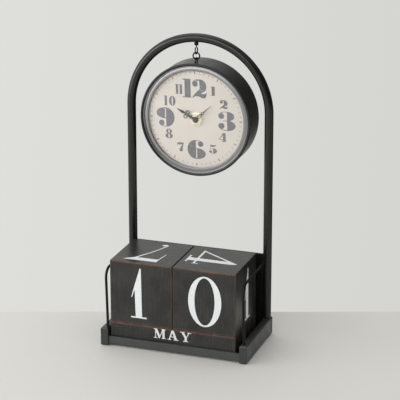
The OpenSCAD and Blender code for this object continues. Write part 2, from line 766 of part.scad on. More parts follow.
// Lid over the wheels, with blind holes for the rear pivots and a hole for the setting shaft
module movement_lid() {
    color([0.15, 0.15, 0.16]) difference() {
        in_movement(lid_front) translate([-bay_half_w, train_bottom, 0])
            cube([2 * bay_half_w, half_movement - housing_wall - train_bottom, lid_t]);
        for (at = [[0, 0], third_at, fifth_at, rotor_at])
            movement_disc(at, arbor_d / 2 + run_gap, lid_front - 1, 1 + pivot_in + 0.2);
        movement_disc(knob_at, knob_shaft_d / 2 + run_gap, lid_front - 1, lid_t + 2);
    }
}

module middle_plate() {
    color([0.75, 0.7, 0.5]) difference() {
        in_movement(plate_front) translate([plate_left, plate_low, 0])
            cube([plate_right - plate_left, plate_high - plate_low, plate_t]);
        movement_disc([0, 0], centre_arbor_d / 2 + run_gap, plate_front - 1, plate_t + 2);
        for (at = [third_at, fifth_at, rotor_at, motion_at])
            movement_disc(at, arbor_d / 2 + run_gap, plate_front - 1, plate_t + 2);
        movement_disc(knob_at, knob_shaft_d / 2 + run_gap, plate_front - 1, plate_t + 2);
    }
}

// Brass bush through the housing and the dial, with a bore for the hour pipe
module threaded_bush() {
    bush_l = movement_front + housing_wall - bush_front;
    color([0.8, 0.65, 0.3]) in_drum(bush_front) difference() {
        cylinder(d = bush_d, h = bush_l);
        translate([0, 0, -1]) cylinder(r = hour_pipe_d / 2 + run_gap, h = bush_l + 2);
    }
}

module rubber_washer() {
    color([0.05, 0.05, 0.05]) in_drum(dial_back) difference() {
        cylinder(d = rubber_d, h = rubber_t);
        translate([0, 0, -1]) cylinder(d = bush_d, h = rubber_t + 2);
    }
}

module brass_washer() {
    color([0.82, 0.68, 0.35]) in_drum(washer_front) difference() {
        cylinder(d = washer_d, h = washer_t);
        translate([0, 0, -1]) cylinder(d = bush_d, h = washer_t + 2);
    }
}

module hex_nut() {
    color([0.82, 0.68, 0.35]) in_drum(nut_front) difference() {
        cylinder(d = nut_af / cos(30), h = nut_t, $fn = 6);
        translate([0, 0, -1]) cylinder(d = bush_d, h = nut_t + 2);
    }
}

// Plate with a round hole for the magnet and an opening between the core and the plate
module stator() {
    plate_low = rotor_at[1] - magnet_d / 2 - 1.5;
    plate_high = rotor_at[1] + magnet_d / 2 + 2.1;
    core_low = coil_at[1] - core_h / 2;
    half_w = coil_l / 2 + stator_leg_w;
    color([0.6, 0.6, 0.62]) difference() {
        in_movement(stator_depth) translate([rotor_at[0] - half_w, plate_low, 0])
            cube([2 * half_w, core_low + core_h - plate_low, stator_t]);
        in_movement(stator_depth - 1) translate([rotor_at[0] - coil_l / 2, plate_high, 0])
            cube([coil_l, core_low - plate_high, stator_t + 2]);
        movement_disc(rotor_at, magnet_d / 2 + air_gap, stator_depth - 1, stator_t + 2);
    }
}

// Wound bobbin with end flanges, bored for the core
module drive_coil() {
    flange_t = 0.8;
    bore_d = sqrt(pow(core_h, 2) + pow(stator_t, 2));
    color([0.72, 0.38, 0.18]) in_movement(stator_depth + stator_t / 2)
        translate([coil_at[0] - coil_l / 2, coil_at[1], 0]) rotate([0, 90, 0]) difference() {
            union() {
                cylinder(d = coil_d - 0.8, h = coil_l);
                for (z = [0, coil_l - flange_t]) translate([0, 0, z]) cylinder(d = coil_d, h = flange_t);
            }
            translate([0, 0, -1]) cylinder(d = bore_d, h = coil_l + 2);
        }
}

// Board with its sealed chip
module circuit_board() {
    chip_d = 6;
    color([0.1, 0.35, 0.2]) in_movement(board_depth) {
        translate([board_at[0], board_at[1], 0]) cube([board_w, board_h, board_t]);
        translate([board_at[0] + board_w / 2, board_at[1] + board_h / 3, 0])
            cylinder(d = chip_d, h = board_t + 0.8);
    }
}

module quartz_crystal() {
    color([0.75, 0.75, 0.78]) in_movement(board_depth - crystal_d / 2)
        translate([board_at[0] + board_w / 3, board_at[1] + board_h / 2, 0]) rotate([-90, 0, 0])
            cylinder(d = crystal_d, h = crystal_l);
}

// A contact strip against the bay's left end wall, with a raised boss towards the battery
module contact_strip() {
    strip_h = bay_h - 2;
    strip_depth = 10;
    boss_r = 2.5;
    translate([-bay_half_w, battery_y - strip_h / 2, -strip_depth / 2])
        cube([contact_t, strip_h, strip_depth]);
    translate([-bay_half_w, battery_y, 0]) rotate([0, 90, 0])
        cylinder(r = boss_r, h = contact_t + contact_boss);
}

module battery_contact_plus() {
    color([0.78, 0.78, 0.8]) in_movement(battery_axis_depth) mirror([1, 0, 0]) contact_strip();
}

module battery_contact_minus() {
    color([0.78, 0.78, 0.8]) in_movement(battery_axis_depth) contact_strip();
}

// One AA cell lying across the bay, its nub to the right
module battery() {
    start_x = -bay_half_w + contact_t + contact_boss + battery_gap;
    color([0.25, 0.35, 0.3]) in_movement(battery_axis_depth)
        translate([start_x, battery_y, 0]) rotate([0, 90, 0]) {
            cylinder(d = battery_d, h = battery_l);
            translate([0, 0, battery_l]) cylinder(d = nub_d, h = nub_l);
        }
}

// Magnet with its pinion on one arbor
module rotor() {
    color([0.3, 0.3, 0.33]) {
        movement_disc(rotor_at, magnet_d / 2, rotor_magnet_depth, magnet_l);
        toothed(rotor_at, rotor_teeth, fifth_mod, rotor_phase, fifth_depth - 0.1, wheel_t + 0.2);
        movement_disc(rotor_at, arbor_d / 2, plate_back - pivot_in, lid_front - plate_back + 2 * pivot_in);
    }
}

module fifth_wheel() {
    color([0.85, 0.85, 0.8]) {
        toothed(fifth_at, fifth_teeth, fifth_mod, 0, fifth_depth, wheel_t);
        toothed(fifth_at, fifth_pinion_teeth, seconds_mod, fifth_pinion_phase, seconds_depth - 0.1,
            fifth_depth + wheel_t / 2 - seconds_depth + 0.1);
        movement_disc(fifth_at, arbor_d / 2, plate_back - pivot_in, lid_front - plate_back + 2 * pivot_in);
    }
}

module seconds_wheel() {
    pinion_depth = third_depth - 0.15;
    color([0.85, 0.85, 0.8]) {
        toothed([0, 0], seconds_teeth, seconds_mod, 0, seconds_depth, wheel_t);
        toothed([0, 0], seconds_pinion_teeth, third_mod, seconds_pinion_phase, pinion_depth,
            seconds_depth + wheel_t / 2 - pinion_depth);
        movement_disc([0, 0], fine_pivot_d / 2, pinion_depth - pivot_in, 2 * pivot_in);
        movement_disc([0, 0], arbor_d / 2, seconds_depth + wheel_t / 3,
            lid_front - seconds_depth - wheel_t / 3 + pivot_in);
    }
}

module third_wheel() {
    pinion_depth = centre_depth - 0.15;
    color([0.85, 0.85, 0.8]) {
        toothed(third_at, third_teeth, third_mod, 0, third_depth, wheel_t);
        toothed(third_at, third_pinion_teeth, centre_mod, third_pinion_phase, pinion_depth,
            third_depth + wheel_t / 2 - pinion_depth);
        movement_disc(third_at, arbor_d / 2, plate_back - pivot_in, lid_front - plate_back + 2 * pivot_in);
    }
}

// Wheel on the long arbor that turns the cannon pinion by friction
module centre_wheel() {
    arbor_back = third_depth - 0.35;
    color([0.85, 0.85, 0.8]) difference() {
        union() {
            toothed([0, 0], centre_teeth, centre_mod, 0, centre_depth, wheel_t);
            movement_disc([0, 0], centre_arbor_d / 2, hour_wheel_depth, arbor_back - hour_wheel_depth);
        }
        movement_disc([0, 0], fine_pivot_d / 2 + run_gap, arbor_back - 0.5, 1);
    }
}

// Minute pipe with its pinion at the back and a bore for the centre arbor
module cannon_pinion() {
    pipe_front = minute_hand_front - movement_front;
    pinion_end = cannon_depth + wheel_t + 0.1;
    color([0.8, 0.66, 0.32]) difference() {
        union() {
            toothed([0, 0], cannon_teeth, cannon_mod, 0, cannon_depth - 0.1, wheel_t + 0.2);
            movement_disc([0, 0], minute_pipe_d / 2, pipe_front, cannon_depth + wheel_t / 2 - pipe_front);
        }
        movement_disc([0, 0], centre_arbor_d / 2 + run_gap, hour_wheel_depth - 0.3,
            pinion_end - hour_wheel_depth + 1.3);
    }
}

// Wheel and pinion that bring the minute pipe's turning down to the hour wheel
module motion_wheel() {
    pinion_depth = hour_wheel_depth - 0.1;
    color([0.85, 0.85, 0.8]) {
        toothed(motion_at, motion_teeth, cannon_mod, motion_phase, cannon_depth, wheel_t);
        toothed(motion_at, motion_pinion_teeth, hour_pair_mod, 0, pinion_depth,
            cannon_depth + wheel_t / 2 - pinion_depth);
        movement_disc(motion_at, arbor_d / 2, housing_wall - pivot_in + 0.1,
            plate_front + pivot_in - housing_wall + pivot_in - 0.1);
    }
}

// Wheel with the pipe that carries the hour hand
module hour_wheel() {
    pipe_front = hour_hand_front - movement_front;
    wheel_back = hour_wheel_depth + wheel_t;
    color([0.8, 0.66, 0.32]) difference() {
        union() {
            toothed([0, 0], hour_teeth, hour_pair_mod, hour_phase, hour_wheel_depth, wheel_t);
            movement_disc([0, 0], hour_pipe_d / 2, pipe_front, hour_wheel_depth + wheel_t / 2 - pipe_front);
        }
        movement_disc([0, 0], minute_pipe_d / 2 + run_gap, pipe_front - 1, wheel_back - pipe_front + 2);
    }
}

// Grip, shaft and pinion for setting the hands from behind
module set_knob() {
    grips = 20;
    knob_front = movement_t + 0.4;
    color([0.2, 0.2, 0.2]) {
        toothed(knob_at, knob_teeth, cannon_mod, knob_phase, cannon_depth - 0.1, wheel_t + 0.2);
        movement_disc(knob_at, knob_shaft_d / 2, cannon_depth, knob_front + 0.1 - cannon_depth);
        in_movement(knob_front) translate([knob_at[0], knob_at[1], 0]) linear_extrude(height = knob_t)
            polygon([for (i = [0:2 * grips - 1]) polar(knob_d / 2 - (i % 2) * 0.35, i * 180 / grips)]);
    }
}

// A hand's outline points up and is turned clockwise to its time
module place_hand(angle, depth) {
    in_drum(depth) rotate([0, 0, -angle]) linear_extrude(height = hand_t) children();
}

// A flat ring in a hand's outline
module hand_ring(at, r_out, r_in) {
    translate(at) difference() {
        circle(r = r_out);
        circle(r = r_in);
    }
}

// Hub, open leaf, ring and thin spear
module minute_hand() {
    leaf_low = hub_r - 0.4;
    leaf_high = minute_hand_l * 0.42;
    leaf_mid = (leaf_low + leaf_high) / 2;
    half_l = (leaf_high - leaf_low) / 2;
    half_w = 1.7;
    rim = 0.5;
    arc_r = (half_l * half_l + half_w * half_w) / (2 * half_w);
    ring_at = [0, leaf_high + 0.8];
    color([0.1, 0.1, 0.12]) place_hand(minute_angle, minute_hand_front) {
        difference() {
            circle(r = hub_r);
            circle(r = minute_pipe_d / 2);
        }
        translate([0, leaf_mid]) difference() {
            intersection_for (side = [-1, 1]) translate([side * (arc_r - half_w), 0]) circle(r = arc_r);
            intersection_for (side = [-1, 1]) translate([side * (arc_r - half_w), 0])
                circle(r = arc_r - rim);
        }
        hand_ring(ring_at, 1.35, 0.75);
        polygon([[-0.55, ring_at[1] + 1.2], [0.55, ring_at[1] + 1.2], [0.12, minute_hand_l],
            [-0.12, minute_hand_l]]);
    }
}

// Hub, waisted arm, three rings that meet and a broad spear
module hour_hand() {
    rings_y = hour_hand_l * 0.48;
    side_x = 2.25;
    side_r = 1.9;
    top_r = 1.2;
    ring_lap = 0.3;
    top_y = rings_y + sqrt(pow(side_r + top_r - ring_lap, 2) - pow(side_x, 2));
    shoulder_y = top_y + 1.8 * top_r;
    color([0.1, 0.1, 0.12]) place_hand(hour_angle, hour_hand_front) {
        difference() {
            union() {
                circle(r = hub_r + 0.3);
                polygon([[-1.5, 2], [1.5, 2], [0.55, rings_y * 0.5], [1, rings_y - 1], [-1, rings_y - 1],
                    [-0.55, rings_y * 0.5]]);
                for (side = [-1, 1]) translate([side, rings_y * 0.52]) circle(r = 0.75);
            }
            circle(r = hour_pipe_d / 2);
        }
        for (side = [-1, 1]) hand_ring([side * side_x, rings_y], side_r, 1.15);
        hand_ring([0, top_y], top_r, 0.55);
        polygon([[0, top_y + 0.6 * top_r], [1.25, shoulder_y], [0.18, hour_hand_l],
            [-0.18, hour_hand_l], [-1.25, shoulder_y]]);
    }
}

module hand_cap() {
    color([0.1, 0.1, 0.1]) in_drum(minute_hand_front - cap_t) cylinder(r = cap_r, h = cap_t);
}

module number_cube(index) {
    color([0.2, 0.2, 0.19]) translate([block_x + index * (cube_side + cube_gap), block_y, bar_top])
        bevelled_box([cube_side, cube_side, cube_side], cube_bevel);
}

module left_cube() {
    number_cube(0);
}

module right_cube() {
    number_cube(1);
}

module month_bar(index) {
    color([0.2, 0.2, 0.19]) translate([block_x, block_y + index * bar_pitch, floor_top])
        bevelled_box([pair_w, bar_side, bar_side], bar_bevel);
}

module front_month_bar() {
    month_bar(0);
}

module middle_month_bar() {
    month_bar(1);
}

module back_month_bar() {
    month_bar(2);
}

left_rail();
right_rail();
front_rail();
tray_floor();
back_panel();
arch_tube();
left_guard_wire();
right_guard_wire();
arch_hook();
hanging_ring();
drum_eye();
drum_case();
bezel_ring();
glass_lens();
dial();
rear_cover();
cover_screws();
movement_housing();
movement_lid();
middle_plate();
threaded_bush();
rubber_washer();
brass_washer();
hex_nut();
drive_coil();
stator();
circuit_board();
quartz_crystal();
battery_contact_plus();
battery_contact_minus();
battery();
rotor();
fifth_wheel();
seconds_wheel();
third_wheel();
centre_wheel();
cannon_pinion();
motion_wheel();
hour_wheel();
set_knob();
minute_hand();
hour_hand();
hand_cap();
left_cube();
right_cube();
front_month_bar();
middle_month_bar();
back_month_bar();
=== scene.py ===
"""Calendar clock: finishes, lettering, bezel, glass, table, lamps and camera for the CAD frame."""
import json
import math

import bpy
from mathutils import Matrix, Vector
from mathutils.geometry import delaunay_2d_cdt


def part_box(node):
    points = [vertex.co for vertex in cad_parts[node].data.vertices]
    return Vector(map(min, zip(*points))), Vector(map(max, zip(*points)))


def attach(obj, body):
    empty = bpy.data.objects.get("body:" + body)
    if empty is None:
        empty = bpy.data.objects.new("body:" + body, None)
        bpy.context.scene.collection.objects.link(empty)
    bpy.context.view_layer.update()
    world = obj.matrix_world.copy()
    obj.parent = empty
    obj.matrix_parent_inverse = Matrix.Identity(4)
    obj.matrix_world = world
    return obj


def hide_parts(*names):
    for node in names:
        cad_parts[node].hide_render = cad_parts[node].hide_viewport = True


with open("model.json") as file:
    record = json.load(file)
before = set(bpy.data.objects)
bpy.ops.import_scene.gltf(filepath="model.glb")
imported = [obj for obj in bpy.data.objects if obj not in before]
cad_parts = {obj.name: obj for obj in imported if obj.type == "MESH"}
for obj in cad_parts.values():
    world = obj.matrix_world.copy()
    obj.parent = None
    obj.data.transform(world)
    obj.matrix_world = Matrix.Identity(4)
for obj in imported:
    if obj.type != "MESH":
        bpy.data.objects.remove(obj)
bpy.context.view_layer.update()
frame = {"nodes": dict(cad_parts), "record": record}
NODES = frame["nodes"]
MM = 0.001

# ---------- Camera: fitted to the photograph
CAMERA_AT = (0.522704, -1.469101, 0.652929)
CAMERA_DOWN = 18.433  # degrees that it looks down
CAMERA_TURN = 19.235  # degrees that it is turned to look from the clock's right
SENSOR_W, FOCAL_LENGTH = 36, 163.79  # mm


def make_camera():
    data = bpy.data.cameras.new("camera")
    camera = bpy.data.objects.new("camera", data)
    bpy.context.scene.collection.objects.link(camera)
    camera.location = CAMERA_AT
    camera.rotation_euler = (math.radians(90 - CAMERA_DOWN), 0, math.radians(CAMERA_TURN))
    data.sensor_width = SENSOR_W
    data.lens = FOCAL_LENGTH
    data.clip_start, data.clip_end = 0.05, 50
    bpy.context.scene.camera = camera


make_camera()


# ---------- Finishes
class Nodes:
    """Short calls that add nodes to the node tree of a material or of the world."""

    def __init__(self, tree):
        self.tree = tree

    def feed(self, socket, value):
        """Links a socket to another node's output, or gives it a number or a colour."""
        if isinstance(value, bpy.types.NodeSocket):
            self.tree.links.new(value, socket)
        elif socket.type == "RGBA":
            socket.default_value = (*value, 1)
        else:
            socket.default_value = value

    def add(self, kind, inputs, **settings):
        """A new node of a kind, with its inputs fed by name or by place."""
        node = self.tree.nodes.new("ShaderNode" + kind)
        for name, value in settings.items():
            setattr(node, name, value)
        for name, value in inputs.items():
            self.feed(node.inputs[name], value)
        return node

    def math(self, operation, a, b=0.0):
        return self.add("Math", {0: a, 1: b}, operation=operation).outputs[0]

    def span(self, value, low, high, to_low=0.0, to_high=1.0):
        """value's range low to high, smoothly brought to to_low to to_high."""
        inputs = {0: value, 1: low, 2: high, 3: to_low, 4: to_high}
        return self.add("MapRange", inputs, interpolation_type="SMOOTHSTEP").outputs[0]

    def mix(self, share, a, b):
        """Colour a where share is 0, and colour b where it is 1."""
        return self.add("Mix", {0: share, 6: a, 7: b}, data_type="RGBA").outputs[2]


class Look(Nodes):
    """A material with its Principled shader, and calls for the textures that drive it."""

    def __init__(self, name, **sockets):
        self.material = bpy.data.materials.new(name)
        self.material.use_nodes = True
        super().__init__(self.material.node_tree)
        self.shader = self.tree.nodes["Principled BSDF"]
        self.place = self.tree.nodes.new("ShaderNodeTexCoord")
        self.set(**sockets)

    def set(self, **sockets):
        """Feeds the shader's sockets, named with underscores for spaces."""
        for name, value in sockets.items():
            self.feed(self.shader.inputs[name.replace("_", " ")], value)

    def noise(self, size, detail=3.0, stretch=(1, 1, 1), roughness=0.5):
        """Noise whose features are about size mm across, longer along an axis by stretch."""
        scale = [1 / (size * MM * s) for s in stretch]
        at = self.add("Mapping", {0: self.place.outputs["Object"], 3: scale}, vector_type="POINT")
        inputs = {"Vector": at.outputs[0], "Scale": 1.0, "Detail": detail, "Roughness": roughness}
        return self.add("TexNoise", inputs).outputs[0]

    def bump(self, height, depth, normal=None):
        """The surface raised by height times depth mm."""
        inputs = {"Height": height, "Distance": depth * MM, "Strength": 1.0}
        node = self.add("Bump", inputs)
        if normal is not None:
            self.feed(node.inputs["Normal"], normal)
        return node.outputs[0]

    def edge(self, radius):
        """0 on flat parts and up to 1 on edges, over radius mm. Near an edge the bevel's normal
        turns away from the surface's own, and their dot product falls below 1."""
        bevel = self.add("Bevel", {"Radius": radius * MM}, samples=6)
        flat = self.add("NewGeometry", {})
        normals = {0: bevel.outputs[0], 1: flat.outputs["Normal"]}
        dot = self.add("VectorMath", normals, operation="DOT_PRODUCT")
        return self.span(dot.outputs["Value"], 1.0, 0.85)


def shade(colour, factor):
    """The colour made lighter or darker by a factor."""
    return tuple(min(1.0, c * factor) for c in colour)


def coated(name, colour, rough, peel, rub, peel_size=1.1, edge_r=0.5, specular=0.5):
    """Paint or powder coat: soft patches, orange peel of a depth and size in mm, and edges that
    look rounded to edge_r mm and are rubbed paler by the factor rub."""
    look = Look(name, Specular_IOR_Level=specular)
    soft = look.add("Bevel", {"Radius": edge_r * MM}, samples=8).outputs[0]
    patches = look.noise(22, 4)
    fine = look.noise(peel_size, 3)
    base = look.mix(patches, shade(colour, 0.86), shade(colour, 1.16))
    wear = look.math("MULTIPLY", look.edge(0.7), look.span(look.noise(7, 4), 0.42, 0.7))
    look.set(
        Base_Color=look.mix(wear, base, shade(colour, rub)),
        Roughness=look.span(look.noise(9, 4), 0.3, 0.7, rough - 0.05, rough + 0.07),
        Normal=look.bump(fine, peel, soft),
    )
    return look.material


def plastic(name, colour, rough=0.5, texture=0.01):
    """Moulded plastic: fine spark-eroded grain and slight shade variation."""
    look = Look(name)
    grain = look.noise(0.35, 2)
    base = look.mix(look.noise(14, 3), shade(colour, 0.9), shade(colour, 1.1))
    wear = look.edge(0.25)
    look.set(
        Base_Color=look.mix(wear, base, shade(colour, 1.5)),
        Roughness=look.span(grain, 0.3, 0.7, rough - 0.06, rough + 0.06),
        Normal=look.bump(grain, texture),
    )
    return look.material


def bare_metal(name, colour, rough=0.3, lines=(1, 1, 1)):
    """Uncoated metal: tarnish in patches, and fine scratches drawn out along an axis by lines."""
    look = Look(name, Metallic=1.0)
    tarnish = look.span(look.noise(3.5, 5), 0.35, 0.75)
    scratch = look.noise(0.25, 2, lines)
    look.set(
        Base_Color=look.mix(tarnish, colour, shade(colour, 0.72)),
        Roughness=look.span(scratch, 0.3, 0.7, rough - 0.06, rough + 0.12),
        Normal=look.bump(scratch, 0.004),
    )
    return look.material


def spun_metal(name, colour, rough, centre):
    """Satin metal turned on a lathe about the drum's axis, with fine concentric lines."""
    look = Look(name, Metallic=1.0)
    out = look.add("VectorMath", {0: look.place.outputs["Object"], 1: centre}, operation="SUBTRACT")
    flat = look.add("VectorMath", {0: out.outputs[0], 1: (1, 0, 1)}, operation="MULTIPLY")
    radius = look.add("VectorMath", {0: flat.outputs[0]}, operation="LENGTH").outputs["Value"]
    inputs = {"W": look.math("DIVIDE", radius, 0.16 * MM), "Scale": 1.0, "Detail": 2.0}
    rings = look.add("TexNoise", inputs, noise_dimensions="1D").outputs[0]
    haze = look.noise(12, 4)
    base = look.mix(haze, shade(colour, 0.9), shade(colour, 1.08))
    look.set(
        Base_Color=look.mix(look.span(rings, 0.3, 0.75, 0.0, 0.4), base, shade(colour, 0.7)),
        Roughness=look.span(rings, 0.25, 0.75, rough - 0.07, rough + 0.1),
        Normal=look.bump(rings, 0.006),
    )
    return look.material


def block_paint(name, size):
    """Charcoal paint over wood, with grain and scuffs. size is the block's size in mm. The long
    edges along X are rubbed through in a broad band, the upright ones less, and those that run
    back hardly at all. A point's distance from an edge is the larger of its distances from the
    two pairs of faces that meet there."""
    look = Look(name)
    axes = look.add("SeparateXYZ", {0: look.place.outputs["Generated"]}).outputs
    gaps = []
    for axis, length in zip(axes, size):
        half = look.math("ABSOLUTE", look.math("SUBTRACT", axis, 0.5))
        gaps.append(look.math("MULTIPLY", look.math("SUBTRACT", 0.5, half), length))
    along_x = look.math("MAXIMUM", gaps[1], gaps[2])
    upright = look.math("MAXIMUM", gaps[0], gaps[1])
    along_y = look.math("MAXIMUM", gaps[0], gaps[2])
    facing = look.add("SeparateXYZ", {0: look.place.outputs["Normal"]}).outputs[2]
    lying = look.math("ABSOLUTE", facing)

    upright_grain = look.noise(0.9, 5, (1, 1, 16), 0.65)
    lying_grain = look.noise(0.8, 5, (18, 1, 1), 0.65)
    grain = look.add("Mix", {0: lying, 2: upright_grain, 3: lying_grain}).outputs[0]
    patches = look.noise(20, 4)
    scuffs = look.span(look.noise(3.2, 6, (1, 1, 5), 0.7), 0.52, 0.8)
    dark, middling = (0.0085, 0.0085, 0.0072), (0.0205, 0.0195, 0.017)
    grain_colour, scuff_colour = (0.034, 0.032, 0.028), (0.058, 0.056, 0.052)
    paint = look.mix(look.span(patches, 0.35, 0.65), dark, middling)
    paint = look.mix(look.span(grain, 0.42, 0.75, 0.0, 0.26), paint, grain_colour)
    paint = look.mix(look.math("MULTIPLY", scuffs, 0.45), paint, scuff_colour)

    reach = look.span(look.noise(16, 3), 0.3, 0.7, 0.45, 1.25)
    ragged = look.math("MULTIPLY", look.math("SUBTRACT", look.noise(0.8, 4), 0.5), 1.1)
    worn, halo = 0.0, 0.0
    for distance, share in ((along_x, 0.95), (upright, 0.55), (along_y, 0.1)):
        band, tooth = look.math("MULTIPLY", reach, share), look.math("MULTIPLY", ragged, share)
        inside = look.math("SUBTRACT", distance, look.math("ADD", band, tooth))
        worn = look.math("MAXIMUM", worn, look.span(inside, 0.3, -0.3))
        near = look.math("MULTIPLY", look.span(distance, 2.4, 0.3), share)
        halo = look.math("MAXIMUM", halo, near)
    halo = look.math("MULTIPLY", halo, look.span(look.noise(9, 5), 0.25, 0.6, 0.25, 0.8))
    tone = look.span(look.noise(6, 4), 0.35, 0.65)
    wood = look.mix(tone, (0.075, 0.036, 0.024), (0.15, 0.064, 0.034))
    colour = look.mix(halo, paint, (0.062, 0.042, 0.034))
    look.set(
        Base_Color=look.mix(look.math("MULTIPLY", worn, 0.75), colour, wood),
        Roughness=look.span(grain, 0.3, 0.75, 0.25, 0.37),
        Normal=look.bump(worn, -0.04, look.bump(grain, 0.012)),
    )
    return look.material


def lettering_paint(name, colour, through, loss=0.72):
    """Worn paint or ink, with the ground's colour through it in flecks where noise passes loss."""
    look = Look(name, Specular_IOR_Level=0.4)
    flecks = look.span(look.noise(0.9, 5, (3, 1, 3), 0.7), loss, loss + 0.06)
    tone = look.mix(look.noise(6, 4), shade(colour, 0.93), shade(colour, 1.04))
    look.set(
        Base_Color=look.mix(flecks, tone, through),
        Roughness=look.span(look.noise(1.5, 3), 0.3, 0.7, 0.42, 0.58),
        Normal=look.bump(look.noise(0.5, 3), 0.01),
    )
    return look.material


def printed_paper(name):
    """The dial's warm, slightly mottled matt paper."""
    look = Look(name, Specular_IOR_Level=0.25)
    age = look.mix(look.noise(16, 5), (0.60, 0.555, 0.51), (0.575, 0.525, 0.48))
    specks = look.span(look.noise(0.7, 4), 0.66, 0.8, 0.0, 0.4)
    look.set(
        Base_Color=look.mix(specks, age, (0.55, 0.5, 0.44)),
        Roughness=look.span(look.noise(0.5, 2), 0.3, 0.7, 0.68, 0.8),
        Normal=look.bump(look.noise(0.3, 3), 0.006),
    )
    return look.material


def clear_glass(name):
    """Clear glass that lets the lamps through to the dial, with faint smears."""
    look = Look(name, Base_Color=(1, 1, 1), Transmission_Weight=1.0, IOR=1.46)
    look.set(Roughness=look.span(look.noise(14, 5), 0.45, 0.75, 0.0, 0.035))
    is_shadow = look.add("LightPath", {}).outputs["Is Shadow Ray"]
    through = look.add("BsdfTransparent", {0: (0.96, 0.97, 0.965)})
    both = look.add("MixShader", {0: is_shadow, 1: look.shader.outputs[0], 2: through.outputs[0]})
    look.feed(look.tree.nodes["Material Output"].inputs["Surface"], both.outputs[0])
    return look.material


def battery_sleeve(name):
    """Plain shrink sleeve: dark green, with a copper-coloured band at the plus end."""
    look = Look(name, Coat_Weight=0.5, Coat_Roughness=0.15)
    along = look.add("SeparateXYZ", {0: look.place.outputs["Generated"]}).outputs[0]
    band = look.math("GREATER_THAN", along, 0.72)
    from_middle = look.math("ABSOLUTE", look.math("SUBTRACT", along, 0.485))
    metal = look.math("GREATER_THAN", from_middle, 0.482)
    wrinkle = look.noise(1.2, 3, (6, 1, 1))
    colour = look.mix(band, (0.022, 0.05, 0.036), (0.42, 0.2, 0.09))
    colour = look.mix(metal, colour, (0.55, 0.55, 0.54))
    look.set(
        Base_Color=look.mix(look.span(wrinkle, 0.4, 0.8, 0.0, 0.2), colour, (0.1, 0.11, 0.1)),
        Metallic=look.math("MAXIMUM", band, metal),
        Roughness=look.span(wrinkle, 0.3, 0.7, 0.24, 0.36),
        Normal=look.bump(wrinkle, 0.02),
    )
    return look.material


def circuit_green(name):
    """Solder mask over copper tracks."""
    look = Look(name, Coat_Weight=0.3, Coat_Roughness=0.2)
    at = look.add("Mapping", {0: look.place.outputs["Object"], 3: (1 / MM, 1 / MM, 1 / MM)})
    inputs = {"Vector": at.outputs[0], "Scale": 0.42, "Color1": (0, 0, 0), "Color2": (0, 0, 0),
              "Mortar": (1, 1, 1), "Mortar Size": 0.09, "Mortar Smooth": 0.2}
    tracks = look.add("TexBrick", inputs).outputs["Color"]
    look.set(
        Base_Color=look.mix(tracks, (0.008, 0.075, 0.03), (0.03, 0.17, 0.06)),
        Roughness=look.span(look.noise(1.0, 3), 0.3, 0.7, 0.3, 0.42),
        Normal=look.bump(tracks, 0.03),
    )
    return look.material


def wound_copper(name):
    """Enamelled wire wound round the coil's axis, which lies along X."""
    look = Look(name, Metallic=1.0, Coat_Weight=0.4, Coat_Roughness=0.12)
    x = look.add("SeparateXYZ", {0: look.place.outputs["Object"]}).outputs[0]
    turns = look.math("SINE", look.math("MULTIPLY", x, 2 * math.pi / (0.22 * MM)))
    look.set(
        Base_Color=look.mix(look.noise(1.5, 3), (0.5, 0.2, 0.08), (0.66, 0.31, 0.14)),
        Roughness=look.span(turns, -1.0, 1.0, 0.38, 0.26),
        Normal=look.bump(turns, 0.03),
    )
    return look.material


def box_mm(node):
    """A CAD piece's box corners in mm."""
    low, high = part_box(node)
    return Vector(low) / MM, Vector(high) / MM


dial_low, dial_high = box_mm("dial")
DIAL = (dial_low + dial_high) / 2
DIAL_FRONT = dial_low.y
DRUM_FRONT = box_mm("drum_case")[0].y
cube_low, cube_high = box_mm("left_cube")
bar_low, bar_high = box_mm("front_month_bar")

# Colour, roughness, the peel's depth and how much paler the rubbed edges are
COATS = {
    "frame_paint": dict(colour=(0.0078, 0.0092, 0.0078), rough=0.19, peel=0.006, rub=3.2,
                        specular=0.46),
    # The side rails' coat is the frame's paint made about three times paler: painted light for
    # their brightly lit faces.
    "side_rail_lit_paler": dict(colour=(0.026, 0.030, 0.0265), rough=0.36, peel=0.012, rub=1.9),
    # The front rail's coat is paler still: painted glare, for the light it catches from the table
    # in front of it.
    "front_rail_glare_paler": dict(colour=(0.042, 0.047, 0.041), rough=0.4, peel=0.014, rub=1.6),
    "hook_paint": dict(colour=(0.0035, 0.0035, 0.0035), rough=0.36, peel=0.008, rub=3.0, edge_r=0.2,
                       specular=0.22),
    "drum_black": dict(colour=(0.009, 0.009, 0.009), rough=0.3, peel=0.006, rub=2.4, specular=0.45),
    "cover_black": dict(colour=(0.026, 0.026, 0.027), rough=0.5, peel=0.01, rub=1.8),
    "hand_paint": dict(colour=(0.018, 0.018, 0.019), rough=0.4, peel=0.004, rub=2.2, peel_size=0.5,
                       edge_r=0.1),
}
